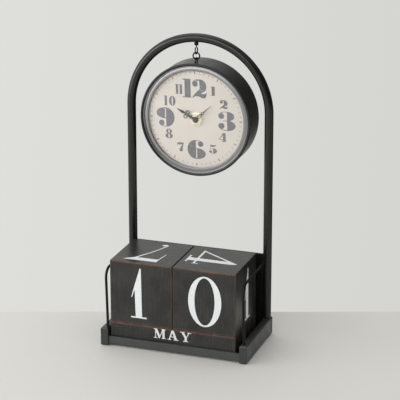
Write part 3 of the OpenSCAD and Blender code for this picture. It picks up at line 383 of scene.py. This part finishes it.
# Colour, roughness and the grain's depth
PLASTICS = {
    "housing_plastic": dict(colour=(0.03, 0.03, 0.034)),
    "wheel_plastic": dict(colour=(0.72, 0.70, 0.62), rough=0.38, texture=0.004),
    "rubber_black": dict(colour=(0.02, 0.02, 0.02), rough=0.75, texture=0.02),
    "knob_plastic": dict(colour=(0.05, 0.05, 0.05), rough=0.55),
}
METALS = {
    "brass": dict(colour=(0.86, 0.80, 0.66)),
    "steel": dict(colour=(0.60, 0.60, 0.59), lines=(1, 6, 1)),
    "magnet": dict(colour=(0.2, 0.2, 0.215), rough=0.42),
}
LOOKS = {
    **{name: coated(name, **finish) for name, finish in COATS.items()},
    **{name: plastic(name, **finish) for name, finish in PLASTICS.items()},
    **{name: bare_metal(name, **finish) for name, finish in METALS.items()},
    "bezel_silver": spun_metal("bezel_silver", (0.325, 0.325, 0.332), 0.3, tuple(DIAL * MM)),
    "clear_glass": clear_glass("clear_glass"),
    "dial_paint": printed_paper("dial_paper"),
    "copper_wire": wound_copper("copper_wire"),
    "board_green": circuit_green("board_green"),
    "battery_sleeve": battery_sleeve("battery_sleeve"),
    "cube_paint": block_paint("cube_paint", tuple(cube_high - cube_low)),
    "bar_paint": block_paint("bar_paint", tuple(bar_high - bar_low)),
}
WHITE = lettering_paint("number_white", (0.70, 0.735, 0.745), (0.12, 0.115, 0.11))
MONTH_WHITE = lettering_paint("month_white", (0.66, 0.675, 0.66), (0.16, 0.15, 0.135), 0.74)
INK = lettering_paint("dial_ink", (0.135, 0.136, 0.152), (0.36, 0.34, 0.33), 0.6)

# Pieces whose finish differs from that of their slot's other pieces. The rails' paler coats are
# painted light: the frame's one paint made lighter where it looks more brightly lit.
OWN_LOOKS = {
    "left_rail": "side_rail_lit_paler", "right_rail": "side_rail_lit_paler", "front_rail": "front_rail_glare_paler",
    "left_guard_wire": "hook_paint", "right_guard_wire": "hook_paint",
    "left_cube": "cube_paint", "right_cube": "cube_paint",
    "front_month_bar": "bar_paint", "middle_month_bar": "bar_paint", "back_month_bar": "bar_paint",
}
for row in frame["record"]["subparts"]:
    mesh = NODES[row["node"]].data
    mesh.materials.clear()
    mesh.materials.append(LOOKS[OWN_LOOKS.get(row["node"], row["material_slot"])])


# ---------- Mesh helpers
LATHE_SIDES = 192


def add_mesh(name, verts, faces, material, body=None, smooth=False):
    """A piece from vertices in mm, riding on a body and shown in a slot."""
    mesh = bpy.data.meshes.new(name)
    mesh.from_pydata([Vector(v) * MM for v in verts], [], faces)
    mesh.validate()
    mesh.materials.append(material)
    if smooth:
        mesh.shade_smooth()
    piece = bpy.data.objects.new(name, mesh)
    bpy.context.scene.collection.objects.link(piece)
    if body is not None:
        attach(piece, body)
    return piece


def lathe(name, profile, slot):
    """A closed outline of (radius, depth behind the drum's front) turned about the drum's axis.
    A radius of 0 is one point on the axis."""
    verts, circles = [], []
    for radius, depth in profile:
        count = LATHE_SIDES if radius > 0 else 1
        circles.append([len(verts) + i for i in range(count)])
        for i in range(count):
            a = 2 * math.pi * i / count
            x, z = radius * math.cos(a), radius * math.sin(a)
            verts.append((DIAL.x + x, DRUM_FRONT + depth, DIAL.z + z))
    faces = []
    for circle, after in zip(circles, circles[1:] + circles[:1]):
        if len(circle) == len(after) == 1:
            continue
        for i in range(LATHE_SIDES):
            j = (i + 1) % LATHE_SIDES
            quad = [circle[i % len(circle)], circle[j % len(circle)],
                    after[j % len(after)], after[i % len(after)]]
            faces.append(list(dict.fromkeys(quad)))
    return add_mesh(name, verts, faces, LOOKS[slot], "drum", smooth=True)


# ---------- Letterforms: a glyph is a list of parts, each with filled loops and loops cut out of it
def oval(x, y, rx, ry, start=0, stop=360):
    """Points about every 7 degrees round an ellipse, from one angle to another."""
    steps = max(6, int(abs(stop - start) / 7))
    last = steps if abs(stop - start) == 360 else steps + 1
    angles = [math.radians(start + (stop - start) * i / steps) for i in range(last)]
    return [(x + rx * math.cos(a), y + ry * math.sin(a)) for a in angles]


def part(*filled, cut=()):
    return (list(filled), list(cut))


def block(x0, y0, x1, y1):
    return part([(x0, y0), (x1, y0), (x1, y1), (x0, y1)])


def shape(*points):
    return part(list(points))


def ring(outer, inner):
    return part(oval(*outer), cut=[oval(*inner)])


def crescent(outer, inner, start, stop):
    """The stretch between two ellipses from one angle to another."""
    return part(oval(*outer, start, stop) + oval(*inner, stop, start))


def ball(x, y, r):
    return part(oval(x, y, r, r))


def half_turn(glyph, width):
    """The glyph turned upside down, as a 6 makes a 9."""
    def turn(loops):
        return [[(width - x, 1 - y) for x, y in loop] for loop in loops]
    return [(turn(filled), turn(cut)) for filled, cut in glyph]


# High-contrast numbers of the cubes, 1 high: (parts, width)
FINE = {
    "0": ([ring((0.326, 0.5, 0.326, 0.5), (0.323, 0.5, 0.198, 0.47))], 0.652),
    "1": ([shape((0.208, 1), (0.217, 0.97), (0.233, 0.02), (0.107, 0.02), (0.09, 0.565),
                 (0.036, 0.405), (0.022, 0.415), (0.086, 0.64), (0.192, 0.985)),
           block(0.014, 0, 0.326, 0.027)], 0.34),
    "2": ([crescent((0.30, 0.70, 0.28, 0.30), (0.265, 0.70, 0.21, 0.268), 170, -30),
           ball(0.095, 0.71, 0.078),
           shape((0.43, 0.60), (0.545, 0.56), (0.15, 0.10), (0.0, 0.0), (0.04, 0.10)),
           shape((0, 0), (0.60, 0), (0.60, 0.155), (0.12, 0.13)),
           shape((0.575, 0.1), (0.60, 0.1), (0.64, 0.42), (0.625, 0.42))], 0.64),
    "3": ([crescent((0.29, 0.745, 0.25, 0.255), (0.255, 0.745, 0.185, 0.222), 165, -90),
           ball(0.11, 0.745, 0.07),
           crescent((0.29, 0.27, 0.30, 0.27), (0.255, 0.27, 0.215, 0.237), 90, -165),
           ball(0.085, 0.25, 0.08), block(0.19, 0.495, 0.30, 0.528)], 0.59),
    "4": ([shape((0.428, 0.03), (0.572, 0.03), (0.572, 0.86), (0.545, 1), (0.445, 0.86)),
           shape((0, 0.19), (0.04, 0.19), (0.46, 0.83), (0.545, 0.96), (0.545, 1), (0.525, 1)),
           block(0, 0.176, 0.726, 0.218), block(0.71, 0.15, 0.728, 0.29),
           block(0.312, 0, 0.657, 0.034)], 0.73),
    "5": ([shape((0.07, 1), (0.075, 0.845), (0.50, 0.845), (0.55, 1)),
           block(0.07, 0.47, 0.10, 0.98),
           crescent((0.27, 0.30, 0.31, 0.30), (0.235, 0.30, 0.225, 0.268), 132, -165),
           ball(0.08, 0.25, 0.08)], 0.58),
    "6": ([crescent((0.33, 0.5, 0.33, 0.5), (0.365, 0.5, 0.235, 0.467), 48, 270),
           ball(0.52, 0.85, 0.078),
           crescent((0.335, 0.29, 0.315, 0.29), (0.315, 0.29, 0.19, 0.257), 105, -90)], 0.65),
    "7": ([shape((0.135, 0.13), (0.232, 0.385), (0.32, 0.575), (0.408, 0.732), (0.47, 0.85),
                 (0.69, 0.988), (0.60, 0.922), (0.505, 0.842), (0.437, 0.716), (0.348, 0.568),
                 (0.25, 0.365), (0.16, 0.12)),
           part(oval(0.19, 0.10, 0.062, 0.04)),
           shape((0.045, 0.855), (0.5, 0.855), (0.62, 0.93), (0.70, 0.992), (0.045, 0.992)),
           shape((0.045, 0.9), (0.062, 0.855), (0.014, 0.555), (0, 0.555))], 0.70),
    "8": ([ring((0.30, 0.765, 0.235, 0.235), (0.30, 0.765, 0.13, 0.205)),
           ring((0.30, 0.27, 0.30, 0.27), (0.30, 0.27, 0.165, 0.238))], 0.60),
}

# Fat figures of the dial, whose curves are half ovals with thin hairlines that end in balls
SIX = [part(oval(0.47, 0.5, 0.47, 0.5, 90, 270)), part(oval(0.53, 0.285, 0.47, 0.285, 90, -90)),
       block(0.45, 0, 0.55, 0.045), block(0.45, 0.53, 0.55, 0.57), ball(0.725, 0.80, 0.15),
       crescent((0.49, 0.77, 0.385, 0.23), (0.49, 0.77, 0.345, 0.195), 100, -8)]
FAT = {
    "0": ([ring((0.34, 0.5, 0.34, 0.5), (0.34, 0.5, 0.075, 0.45))], 0.68),
    "1": ([block(0.12, 0, 0.455, 1), block(0, 0, 0.477, 0.045),
           shape((0, 0.955), (0.06, 0.94), (0.14, 0.93), (0.2, 1), (0, 1))], 0.477),
    "2": ([crescent((0.434, 0.625, 0.378, 0.375), (0.36, 0.66, 0.07, 0.29), 128, -38),
           ball(0.175, 0.755, 0.155),
           crescent((0.31, 0.72, 0.31, 0.28), (0.31, 0.72, 0.275, 0.245), 88, 172),
           shape((0.40, 0.47), (0.72, 0.39), (0.5, 0.27), (0.25, 0.17), (0.04, 0.0), (0.0, 0.03),
                 (0.12, 0.2)),
           shape((0.02, 0.02), (0.17, 0.1), (0.32, 0.115), (0.46, 0.06), (0.60, 0.01), (0.71, 0.02),
                 (0.79, 0.11), (0.83, 0.31), (0.80, 0.31), (0.74, 0.25), (0.64, 0.23), (0.46, 0.27),
                 (0.28, 0.26), (0.12, 0.16))], 0.83),
    "3": ([part(oval(0.47, 0.755, 0.385, 0.245, 90, -90)),
           part(oval(0.47, 0.27, 0.445, 0.27, 90, -90)),
           block(0.25, 0.495, 0.5, 0.53), ball(0.17, 0.765, 0.155), ball(0.17, 0.245, 0.16),
           crescent((0.40, 0.765, 0.385, 0.235), (0.40, 0.765, 0.35, 0.2), 80, 172),
           crescent((0.42, 0.25, 0.41, 0.25), (0.42, 0.25, 0.375, 0.215), 280, 188)], 0.915),
    "4": ([block(0.42, 0.03, 0.70, 1),
           shape((0, 0.27), (0.07, 0.27), (0.47, 0.85), (0.47, 1), (0.43, 1)),
           block(0, 0.225, 0.80, 0.275), block(0.32, 0, 0.80, 0.05)], 0.80),
    "5": ([shape((0.14, 1), (0.14, 0.80), (0.30, 0.77), (0.5, 0.78), (0.68, 0.82), (0.80, 0.97),
                 (0.5, 0.97)),
           block(0.14, 0.5, 0.18, 0.95), part(oval(0.44, 0.31, 0.42, 0.31, 90, -90)),
           ball(0.17, 0.23, 0.15),
           crescent((0.43, 0.28, 0.41, 0.28), (0.43, 0.28, 0.375, 0.245), 275, 185),
           crescent((0.44, 0.42, 0.29, 0.2), (0.44, 0.42, 0.26, 0.165), 85, 160)], 0.86),
    "6": (SIX, 1.0),
    "7": ([shape((0.04, 0.98), (0.06, 0.76), (0.2, 0.74), (0.4, 0.76), (0.58, 0.78), (0.72, 0.9),
                 (0.72, 1), (0.1, 1)),
           shape((0, 0.62), (0.04, 0.62), (0.11, 0.85), (0.04, 0.98)),
           shape((0.72, 0.95), (0.66, 0.62), (0.60, 0.40), (0.62, 0.1), (0.55, 0), (0.30, 0),
                 (0.22, 0.09), (0.27, 0.34), (0.45, 0.6), (0.62, 0.82))], 0.72),
    "8": ([ring((0.39, 0.75, 0.31, 0.25), (0.39, 0.75, 0.075, 0.2)),
           ring((0.39, 0.27, 0.39, 0.27), (0.39, 0.27, 0.085, 0.215))], 0.78),
    "9": (half_turn(SIX, 1.0), 1.0),
}


# Capitals of the months, 1 high, with slab serifs
SLAB = 0.085


def stem(x, width=0.23, low=0.0, feet=(0, 1), out=0.09):
    """An upright stroke up to the top, with a slab serif at its foot (0), its head (1) or both."""
    heights = [end * (1 - SLAB) for end in feet]
    slabs = [block(x - out, y, x + width + out, y + SLAB) for y in heights]
    return [block(x, low, x + width, 1)] + slabs


def arm(x0, x1, y, serif=0.0):
    """A thin arm, with a spur up or down at its end."""
    made = [block(x0, y, x1, y + SLAB)]
    if serif:
        low, high = sorted((y + SLAB / 2, y + SLAB / 2 + serif))
        made.append(block(x1 - 0.06, low, x1, high))
    return made


def bowl(x, y, rx, ry):
    """The right half of a ring, thick at its side."""
    return crescent((x, y, rx, ry), (x, y, rx - 0.22, ry - SLAB), 90, -90)


CAPITALS = {
    "A": ([shape((0.40, 1), (0.64, 1), (1.0, 0.04), (0.74, 0.04)),
           shape((0.13, 0.04), (0.22, 0.04), (0.52, 0.82), (0.47, 1), (0.40, 1)),
           block(0.26, 0.29, 0.78, 0.37), block(0, 0, 0.36, SLAB),
           block(0.62, 0, 1.12, SLAB)], 1.12),
    "B": (stem(0.09) + [bowl(0.5, 0.74, 0.38, 0.26), bowl(0.5, 0.275, 0.45, 0.275)]
          + arm(0.2, 0.5, 0.915) + arm(0.2, 0.5, 0.475) + arm(0.2, 0.5, 0), 0.95),
    "C": ([crescent((0.5, 0.5, 0.5, 0.5), (0.53, 0.5, 0.29, 0.42), 42, 318),
           block(0.86, 0.62, 0.93, 0.97), block(0.86, 0.03, 0.93, 0.3)], 0.95),
    "D": (stem(0.09) + [bowl(0.45, 0.5, 0.58, 0.5)]
          + arm(0.2, 0.46, 0.915) + arm(0.2, 0.46, 0), 1.03),
    "E": (stem(0.09) + arm(0.2, 0.88, 0.915, -0.27) + arm(0.2, 0.66, 0.46)
          + [block(0.62, 0.35, 0.68, 0.65)] + arm(0.2, 0.92, 0, 0.3), 0.92),
    "F": (stem(0.09) + arm(0.2, 0.86, 0.915, -0.27) + arm(0.2, 0.64, 0.46)
          + [block(0.60, 0.35, 0.66, 0.65)], 0.86),
    "G": ([crescent((0.5, 0.5, 0.5, 0.5), (0.53, 0.5, 0.29, 0.42), 42, 300),
           block(0.86, 0.62, 0.93, 0.97), block(0.70, 0.04, 0.93, 0.42),
           block(0.6, 0.38, 1.02, 0.46)], 1.02),
    "H": (stem(0.09) + stem(0.78) + arm(0.2, 0.9, 0.46), 1.10),
    "I": (stem(0.09), 0.41),
    "J": (stem(0.36, low=0.25, feet=(1,))
          + [crescent((0.30, 0.27, 0.29, 0.27), (0.25, 0.27, 0.12, 0.19), 0, -180),
             ball(0.12, 0.3, 0.12)], 0.68),
    "L": (stem(0.09) + arm(0.2, 0.88, 0, 0.36), 0.88),
    "M": ([block(0.14, 0, 0.22, 0.95),
           shape((0.08, 1), (0.34, 1), (0.68, 0.22), (0.60, 0), (0.53, 0)),
           shape((0.53, 0), (0.60, 0), (0.97, 0.9), (0.90, 1))] + stem(0.90, 0.22)
          + [block(0, 0, 0.36, SLAB), block(0, 1 - SLAB, 0.3, 1)], 1.24),
    "N": ([block(0.14, 0, 0.22, 0.95),
           shape((0.08, 1), (0.34, 1), (0.98, 0.1), (0.98, 0), (0.86, 0)),
           block(0.88, 0, 0.96, 1), block(0, 0, 0.36, SLAB), block(0, 1 - SLAB, 0.3, 1),
           block(0.74, 1 - SLAB, 1.1, 1)], 1.10),
    "O": ([ring((0.5, 0.5, 0.5, 0.5), (0.5, 0.5, 0.27, 0.42))], 1.0),
    "P": (stem(0.09) + [bowl(0.5, 0.72, 0.42, 0.28)]
          + arm(0.2, 0.5, 0.915) + arm(0.2, 0.5, 0.44), 0.92),
    "R": (stem(0.09) + [bowl(0.5, 0.73, 0.4, 0.27),
                        shape((0.42, 0.5), (0.62, 0.5), (0.96, 0.0), (0.70, 0.0))]
          + arm(0.2, 0.5, 0.915) + arm(0.2, 0.5, 0.46) + [block(0.7, 0, 1.08, SLAB)], 1.06),
    "S": ([crescent((0.39, 0.74, 0.36, 0.26), (0.42, 0.76, 0.22, 0.17), 35, 250),
           block(0.66, 0.62, 0.73, 0.97),
           shape((0.06, 0.64), (0.2, 0.52), (0.5, 0.40), (0.55, 0.3), (0.76, 0.3), (0.72, 0.46),
                 (0.55, 0.56), (0.3, 0.66)),
           crescent((0.38, 0.27, 0.39, 0.27), (0.36, 0.25, 0.22, 0.175), 60, -150),
           block(0.02, 0.03, 0.09, 0.4)], 0.78),
    "T": (stem(0.35, feet=(0,))
          + [block(0.02, 0.915, 0.91, 1), block(0.02, 0.7, 0.09, 1),
             block(0.84, 0.7, 0.91, 1)], 0.93),
    "U": (stem(0.09, low=0.3, feet=(1,)) + stem(0.84, 0.08, 0.3, feet=(1,), out=0.13)
          + [crescent((0.505, 0.32, 0.415, 0.32), (0.58, 0.32, 0.26, 0.24), 180, 360)], 1.05),
    "V": ([shape((0.1, 1), (0.36, 1), (0.66, 0.25), (0.60, 0), (0.5, 0)),
           shape((0.5, 0), (0.6, 0), (0.96, 1), (0.87, 1)),
           block(0, 1 - SLAB, 0.46, 1), block(0.72, 1 - SLAB, 1.08, 1)], 1.08),
    "Y": ([shape((0.08, 1), (0.36, 1), (0.62, 0.5), (0.62, 0.4), (0.45, 0.4)),
           shape((0.88, 1), (0.98, 1), (0.68, 0.46), (0.58, 0.46)),
           block(0.45, 0, 0.68, 0.48), block(0.3, 0, 0.83, SLAB), block(0, 1 - SLAB, 0.46, 1),
           block(0.74, 1 - SLAB, 1.11, 1)], 1.11),
}


INSIDE_ONLY = 1  # the triangulation keeps the triangles that lie inside a loop
SAME_POINT = 1e-5  # and joins points nearer than this


def flat_union(glyph):
    """Points and triangles of a glyph's parts joined into one flat form."""
    points, loops, owners = [], [], []
    for k, (filled, cut) in enumerate(glyph):
        for loop, is_filled in [(f, True) for f in filled] + [(c, False) for c in cut]:
            area = sum(x0 * y1 - x1 * y0 for (x0, y0), (x1, y1) in zip(loop, loop[1:] + loop[:1]))
            loop = loop if area > 0 else loop[::-1]
            loops.append(list(range(len(points), len(points) + len(loop))))
            points += loop
            owners.append((k, is_filled))
    found = delaunay_2d_cdt([Vector(p) for p in points], [], loops, INSIDE_ONLY, SAME_POINT)
    corners, triangles, loops_round = found[0], found[2], found[5]
    kept = []
    for triangle, inside in zip(triangles, loops_round):
        filled = {owners[i][0] for i in inside if owners[i][1]}
        cut = {owners[i][0] for i in inside if not owners[i][1]}
        if filled - cut:
            kept.append(triangle)
    used = sorted({i for t in kept for i in t})
    number = {old: new for new, old in enumerate(used)}
    return [tuple(corners[i]) for i in used], [[number[i] for i in t] for t in kept]


flat_forms = {}


def flat_form(family, name):
    """The flat form of a family's glyph, worked out once."""
    key = (id(family), name)
    if key not in flat_forms:
        flat_forms[key] = flat_union(family[name][0])
    return flat_forms[key]


class Sheet:
    """Thin plates laid on faces of one block and made into one piece. Each is sunk into the face
    and stands proud of it by a hair, in mm."""

    def __init__(self, sunk=0.03, proud=0.05):
        self.verts, self.faces, self.sunk, self.proud = [], [], sunk, proud

    def lay(self, form, origin, right, up, height, width_scale=1.0):
        """A flat form, 1 high, as a plate height mm high with its lower left corner at origin."""
        right, up = Vector(right), Vector(up)
        out = right.cross(up)
        points, triangles = form
        start, count = len(self.verts), len(points)
        for offset in (-self.sunk, self.proud):
            for x, y in points:
                along = right * (x * height * width_scale)
                self.verts.append(origin + along + up * (y * height) + out * offset)
        edges = {}
        for a, b, c in triangles:
            self.faces.append((start + count + a, start + count + b, start + count + c))
            self.faces.append((start + c, start + b, start + a))
            edges.update(dict.fromkeys(((a, b), (b, c), (c, a))))
        for a, b in edges:
            if (b, a) not in edges:
                self.faces.append((start + a, start + b, start + count + b, start + count + a))

    def make(self, name, material, body):
        add_mesh(name, self.verts, self.faces, material, body)


# Each side of a block: the way it faces, and its right and up as seen from outside
SIDES = {
    "front": ((0, -1, 0), (1, 0, 0), (0, 0, 1)),
    "back": ((0, 1, 0), (-1, 0, 0), (0, 0, 1)),
    "left": ((-1, 0, 0), (0, -1, 0), (0, 0, 1)),
    "right": ((1, 0, 0), (0, 1, 0), (0, 0, 1)),
    "top": ((0, 0, 1), (1, 0, 0), (0, 1, 0)),
    "bottom": ((0, 0, -1), (1, 0, 0), (0, -1, 0)),
}


def side_frame(node, side, turns=0):
    """Lower left corner, right, up, width and height of a block's side, turned clockwise."""
    low, high = box_mm(node)
    centre, size = (low + high) / 2, high - low
    out, right, up = (Vector(v) for v in SIDES[side])
    for _ in range(turns):
        right, up = -up, right
    width, height = abs(right.dot(size)), abs(up.dot(size))
    corner = centre + out * abs(out.dot(size)) / 2 - right * width / 2 - up * height / 2
    return corner, right, up, width, height


# ---------- Numbers on the cubes: side, number, quarter turns, height, and left and bottom margins.
# The margins are given on the sides that the photograph shows. None puts a number in the middle.
NUMBER_H = 48.5
CUBE_NUMBERS = {
    "left_cube": [("front", "1", 0, 48.5, (19.5, 6.6)), ("top", "7", 2, 49.0, (15.4, 3.8)),
                  ("right", "0", 0, NUMBER_H, None), ("left", "2", 0, NUMBER_H, None),
                  ("back", "6", 0, NUMBER_H, None), ("bottom", "8", 0, NUMBER_H, None)],
    "right_cube": [("front", "0", 0, 48.0, (15.0, 6.5)), ("top", "4", 1, 47.4, (9.5, 4.9)),
                   ("right", "1", 0, 49.2, (25.1, 5.7)), ("left", "3", 0, NUMBER_H, None),
                   ("back", "2", 0, NUMBER_H, None), ("bottom", "5", 0, NUMBER_H, None)],
}
for node, numbers in CUBE_NUMBERS.items():
    sheet = Sheet()
    for side, number, turns, height, margins in numbers:
        corner, right, up, wide, high = side_frame(node, side, turns)
        if margins is None:
            margins = ((wide - FINE[number][1] * height) / 2, (high - height) / 2)
        at = corner + right * margins[0] + up * margins[1]
        sheet.lay(flat_form(FINE, number), at, right, up, height)
    sheet.make(node + "_numbers", WHITE, node)

# ---------- Month names on the bars, one on each long side
MONTH_H, MONTH_GAP = 9.2, 1.85
MONTH_FOOT = 9.4  # from the side's lower edge to the letters
MONTH_SIDES = ("front", "top", "back", "bottom")
BAR_MONTHS = {
    "front": ("MAY", "JUNE", "JULY", "AUGUST"),
    "middle": ("JANUARY", "FEBRUARY", "MARCH", "APRIL"),
    "back": ("SEPTEMBER", "OCTOBER", "NOVEMBER", "DECEMBER"),
}
for row, months in BAR_MONTHS.items():
    sheet = Sheet()
    for side, word in zip(MONTH_SIDES, months):
        corner, right, up, wide, high = side_frame(row + "_month_bar", side)
        length = sum(CAPITALS[c][1] for c in word) * MONTH_H + MONTH_GAP * (len(word) - 1)
        at = corner + right * (wide - length) / 2 + up * MONTH_FOOT
        for letter in word:
            sheet.lay(flat_form(CAPITALS, letter), at, right, up, MONTH_H)
            at = at + right * (CAPITALS[letter][1] * MONTH_H + MONTH_GAP)
    body = row + "_bar"
    sheet.make(body + "_month_names", MONTH_WHITE, body)

# ---------- Dial: figures and minute marks, printed a little off the middle and slightly turned
PRINT_ROLL = math.radians(1.4)
PRINT_OFF_X, PRINT_OFF_Z = -0.45, 0.25
PRINT_SUNK, PRINT_PROUD = 0.02, 0.03
print_at = Vector((DIAL.x + PRINT_OFF_X, DIAL_FRONT, DIAL.z + PRINT_OFF_Z))
print_right = Vector((math.cos(PRINT_ROLL), 0, math.sin(PRINT_ROLL)))
print_up = Vector((-math.sin(PRINT_ROLL), 0, math.cos(PRINT_ROLL)))
# Each figure, its middle from the dial's, its height and its width
FIGURES = [
    ("1", (-7.96, 28.2), 17.3, 8.2), ("2", (4.1, 28.2), 17.6, 14.0),
    ("3", (29.46, -0.22), 17.9, 16.5),
    ("6", (0.05, -28.6), 17.8, 17.5),
    ("9", (-29.0, -0.1), 18.0, 17.2),
    ("1", (16.7, 26.9), 8.4, 4.2),
    ("2", (26.8, 15.1), 8.4, 7.6),
    ("4", (25.3, -15.4), 8.3, 7.2),
    ("5", (15.75, -27.3), 8.5, 7.7),
    ("7", (-15.4, -27.2), 8.4, 6.4),
    ("8", (-26.1, -15.4), 9.1, 7.2),
    ("1", (-28.6, 15.5), 9.0, 3.2), ("0", (-22.1, 15.5), 9.1, 6.2),
    ("1", (-17.6, 26.9), 8.9, 3.2), ("1", (-13.9, 26.9), 8.9, 3.2),
]
sheet = Sheet(PRINT_SUNK, PRINT_PROUD)
for figure, (x, y), height, width in FIGURES:
    scale = width / (FAT[figure][1] * height)
    at = print_at + print_right * (x - width / 2) + print_up * (y - height / 2)
    sheet.lay(flat_form(FAT, figure), at, print_right, print_up, height, scale)
sheet.make("dial_figures", INK, "drum")

MARK_R = 42.6  # the marks' outer ends
HOUR_MARK, MINUTE_MARK = (2.6, 0.85), (1.7, 0.38)  # length and width
mark_form = flat_union([block(0, 0, 1, 1)])
sheet = Sheet(PRINT_SUNK, PRINT_PROUD)
for minute in range(60):
    a = math.radians(6 * minute)
    long, wide = HOUR_MARK if minute % 5 == 0 else MINUTE_MARK
    outward = print_up * math.cos(a) + print_right * math.sin(a)
    side = print_right * math.cos(a) - print_up * math.sin(a)
    at = print_at + outward * (MARK_R - long / 2) - side * (wide / 2)
    sheet.lay(mark_form, at, side, outward, long, wide / long)
sheet.make("dial_minute_marks", INK, "drum")

# ---------- Bezel and glass: radii, and depths behind the drum's front
BEZEL_R, BEZEL_FRONT, BEZEL_BACK = 50.9, 1.5, 4.7
BEAD_R, BEAD_HALF_W, BEAD_H = 49.5, 0.42, 0.4
SLOPE_R, SLOPE_W, SLOPE_BACK, SLOPE_H = 48.85, 2.35, 2.2, 0.42
LIP_R, LIP_W, LIP_BACK, LIP_H = 45.3, 0.6, 2.4, 0.58
RIM_R, RIM_FRONT, GLASS_T = 46.7, 3.2, 1.2
DOME_R, DOME_RISE, DOME_STEPS = 45.1, 4.0, 24

# The bezel is a turned ring with a bead, a face that slopes back outwards and a rounded inner lip
bead = [(BEAD_R + BEAD_HALF_W * math.cos(a), BEZEL_FRONT - BEAD_H * math.sin(a))
        for a in (math.radians(20 * i) for i in range(10))]
slope = [(SLOPE_R - SLOPE_W * t, SLOPE_BACK - SLOPE_H * math.sin(t * math.pi / 2))
         for t in (i / 12 for i in range(13))]
lip = [(LIP_R + LIP_W * (1 - math.sin(a)), LIP_BACK - LIP_H * math.cos(a))
       for a in (math.radians(18 * i) for i in range(6))]
outside = [(BEZEL_R, BEZEL_BACK), (BEZEL_R, BEZEL_FRONT), (BEZEL_R - 0.8, BEZEL_FRONT)]
outer_groove, inner_groove = (49.98, 1.7), (49.0, 2.15)
seat = [(LIP_R, RIM_FRONT), (RIM_R, RIM_FRONT), (RIM_R, BEZEL_BACK)]
profile = outside + [outer_groove] + bead + [inner_groove] + slope + lip + seat
bezel = lathe("bezel", profile, "bezel_silver")
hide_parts("bezel_ring")

# The glass is a smooth domed shell with a flat rim under the bezel
steps = [1 - i / DOME_STEPS for i in range(DOME_STEPS + 1)]
dome = [(DOME_R * out, RIM_FRONT - DOME_RISE * (1 - out ** 2)) for out in steps]
glass = lathe("glass", [(RIM_R, RIM_FRONT + GLASS_T), (RIM_R, RIM_FRONT)] + dome
              + [(r, depth + GLASS_T) for r, depth in reversed(dome)], "clear_glass")
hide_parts("glass_lens")


# ---------- Table, backdrop and lamps
TABLE_FAR_EDGE = Vector((-11.3, 61.4, 0))  # a point on it, where the photograph shows it, in mm
TABLE_HALF_W, TABLE_DEPTH, TABLE_T, TABLE_EDGE_R = 1500, 2200, 30, 1


def make_table():
    """A pale table top, square to the camera, whose far edge is rounded."""
    turn, r = math.radians(CAMERA_TURN), TABLE_EDGE_R
    along = Vector((math.cos(turn), math.sin(turn), 0))
    back = Vector((-math.sin(turn), math.cos(turn), 0))
    outline = [(-TABLE_DEPTH, -TABLE_T), (-TABLE_DEPTH, 0)]
    outline += [(-r + r * math.sin(a), -r + r * math.cos(a))
                for a in (math.radians(15 * i) for i in range(7))]
    outline += [(0, -TABLE_T)]
    verts = [TABLE_FAR_EDGE + along * s * TABLE_HALF_W + back * y + Vector((0, 0, z))
             for s in (-1, 1) for y, z in outline]
    count = len(outline)
    faces = [[i, (i + 1) % count, count + (i + 1) % count, count + i] for i in range(count)]
    faces += [list(range(count))[::-1], list(range(count, 2 * count))]
    look = Look("table_top", Specular_IOR_Level=0.3)
    look.set(
        Base_Color=look.mix(look.noise(220, 3), (0.622, 0.614, 0.584), (0.582, 0.574, 0.544)),
        Roughness=look.span(look.noise(30, 3), 0.3, 0.7, 0.5, 0.6),
        Normal=look.bump(look.noise(1.2, 3), 0.01),
    )
    table = add_mesh("table", verts, faces, look.material)


def make_world():
    """A pale studio. Its soft light is a little stronger from the right. The camera and the glass
    see its wall, paler at the left, and gloss sees that wall with a dark part at the right."""
    world = bpy.data.worlds.new("studio")
    bpy.context.scene.world = world
    world.use_nodes = True
    nodes = Nodes(world.node_tree)
    direction = nodes.add("TexCoord", {}).outputs["Generated"]
    axes = nodes.add("SeparateXYZ", {0: direction}).outputs
    rightward, upward = axes[0], axes[2]
    rays = nodes.add("LightPath", {}).outputs
    plain = nodes.math("MAXIMUM", rays["Is Camera Ray"], rays["Is Transmission Ray"])

    strength = nodes.span(rightward, 0.7, -0.3, 0.74, 0.68)
    light = nodes.add("Background", {"Color": (1.0, 0.997, 0.985), "Strength": strength})
    side_gloss = nodes.span(rightward, 0.4, -0.3, 0.06, 1.0)
    gloss = nodes.math("MAXIMUM", side_gloss, nodes.span(upward, 0.35, 0.9, 0.0, 0.6))
    left_wall, right_wall = (0.745, 0.75, 0.72), (0.66, 0.664, 0.63)
    tone = nodes.mix(nodes.span(rightward, -0.5, -0.15), left_wall, right_wall)
    wall = nodes.add("Background", {"Color": tone, "Strength": nodes.math("MAXIMUM", gloss, plain)})
    shown = nodes.math("MAXIMUM", plain, rays["Is Glossy Ray"])
    both = nodes.add("MixShader", {0: shown, 1: light.outputs[0], 2: wall.outputs[0]})
    nodes.feed(nodes.tree.nodes["World Output"].inputs["Surface"], both.outputs[0])


def make_lamp(name, place, aim, size, watts):
    data = bpy.data.lights.new(name, "AREA")
    data.shape = "RECTANGLE"
    data.size, data.size_y = size
    data.energy = watts
    lamp = bpy.data.objects.new(name, data)
    bpy.context.scene.collection.objects.link(lamp)
    lamp.location = place
    lamp.rotation_euler = (Vector(aim) - Vector(place)).to_track_quat("-Z", "Y").to_euler()


# Each lamp's place and aim, its width and height, all in m, and its power in W
LAMPS = {
    "window_lamp": ((-1.15, -0.75, 0.5), (0, 0, 0.15), (0.9, 1.1), 9),
    "key_lamp": ((-0.35, -1.75, 0.95), (0, 0, 0.15), (1.8, 1.1), 13),
    "top_lamp": ((-0.4, 0.3, 1.7), (0, 0, 0.1), (1.8, 1.8), 8),
}
make_table()
make_world()
for name, lamp in LAMPS.items():
    make_lamp(name, *lamp)
bpy.context.scene.view_settings.view_transform = "Standard"
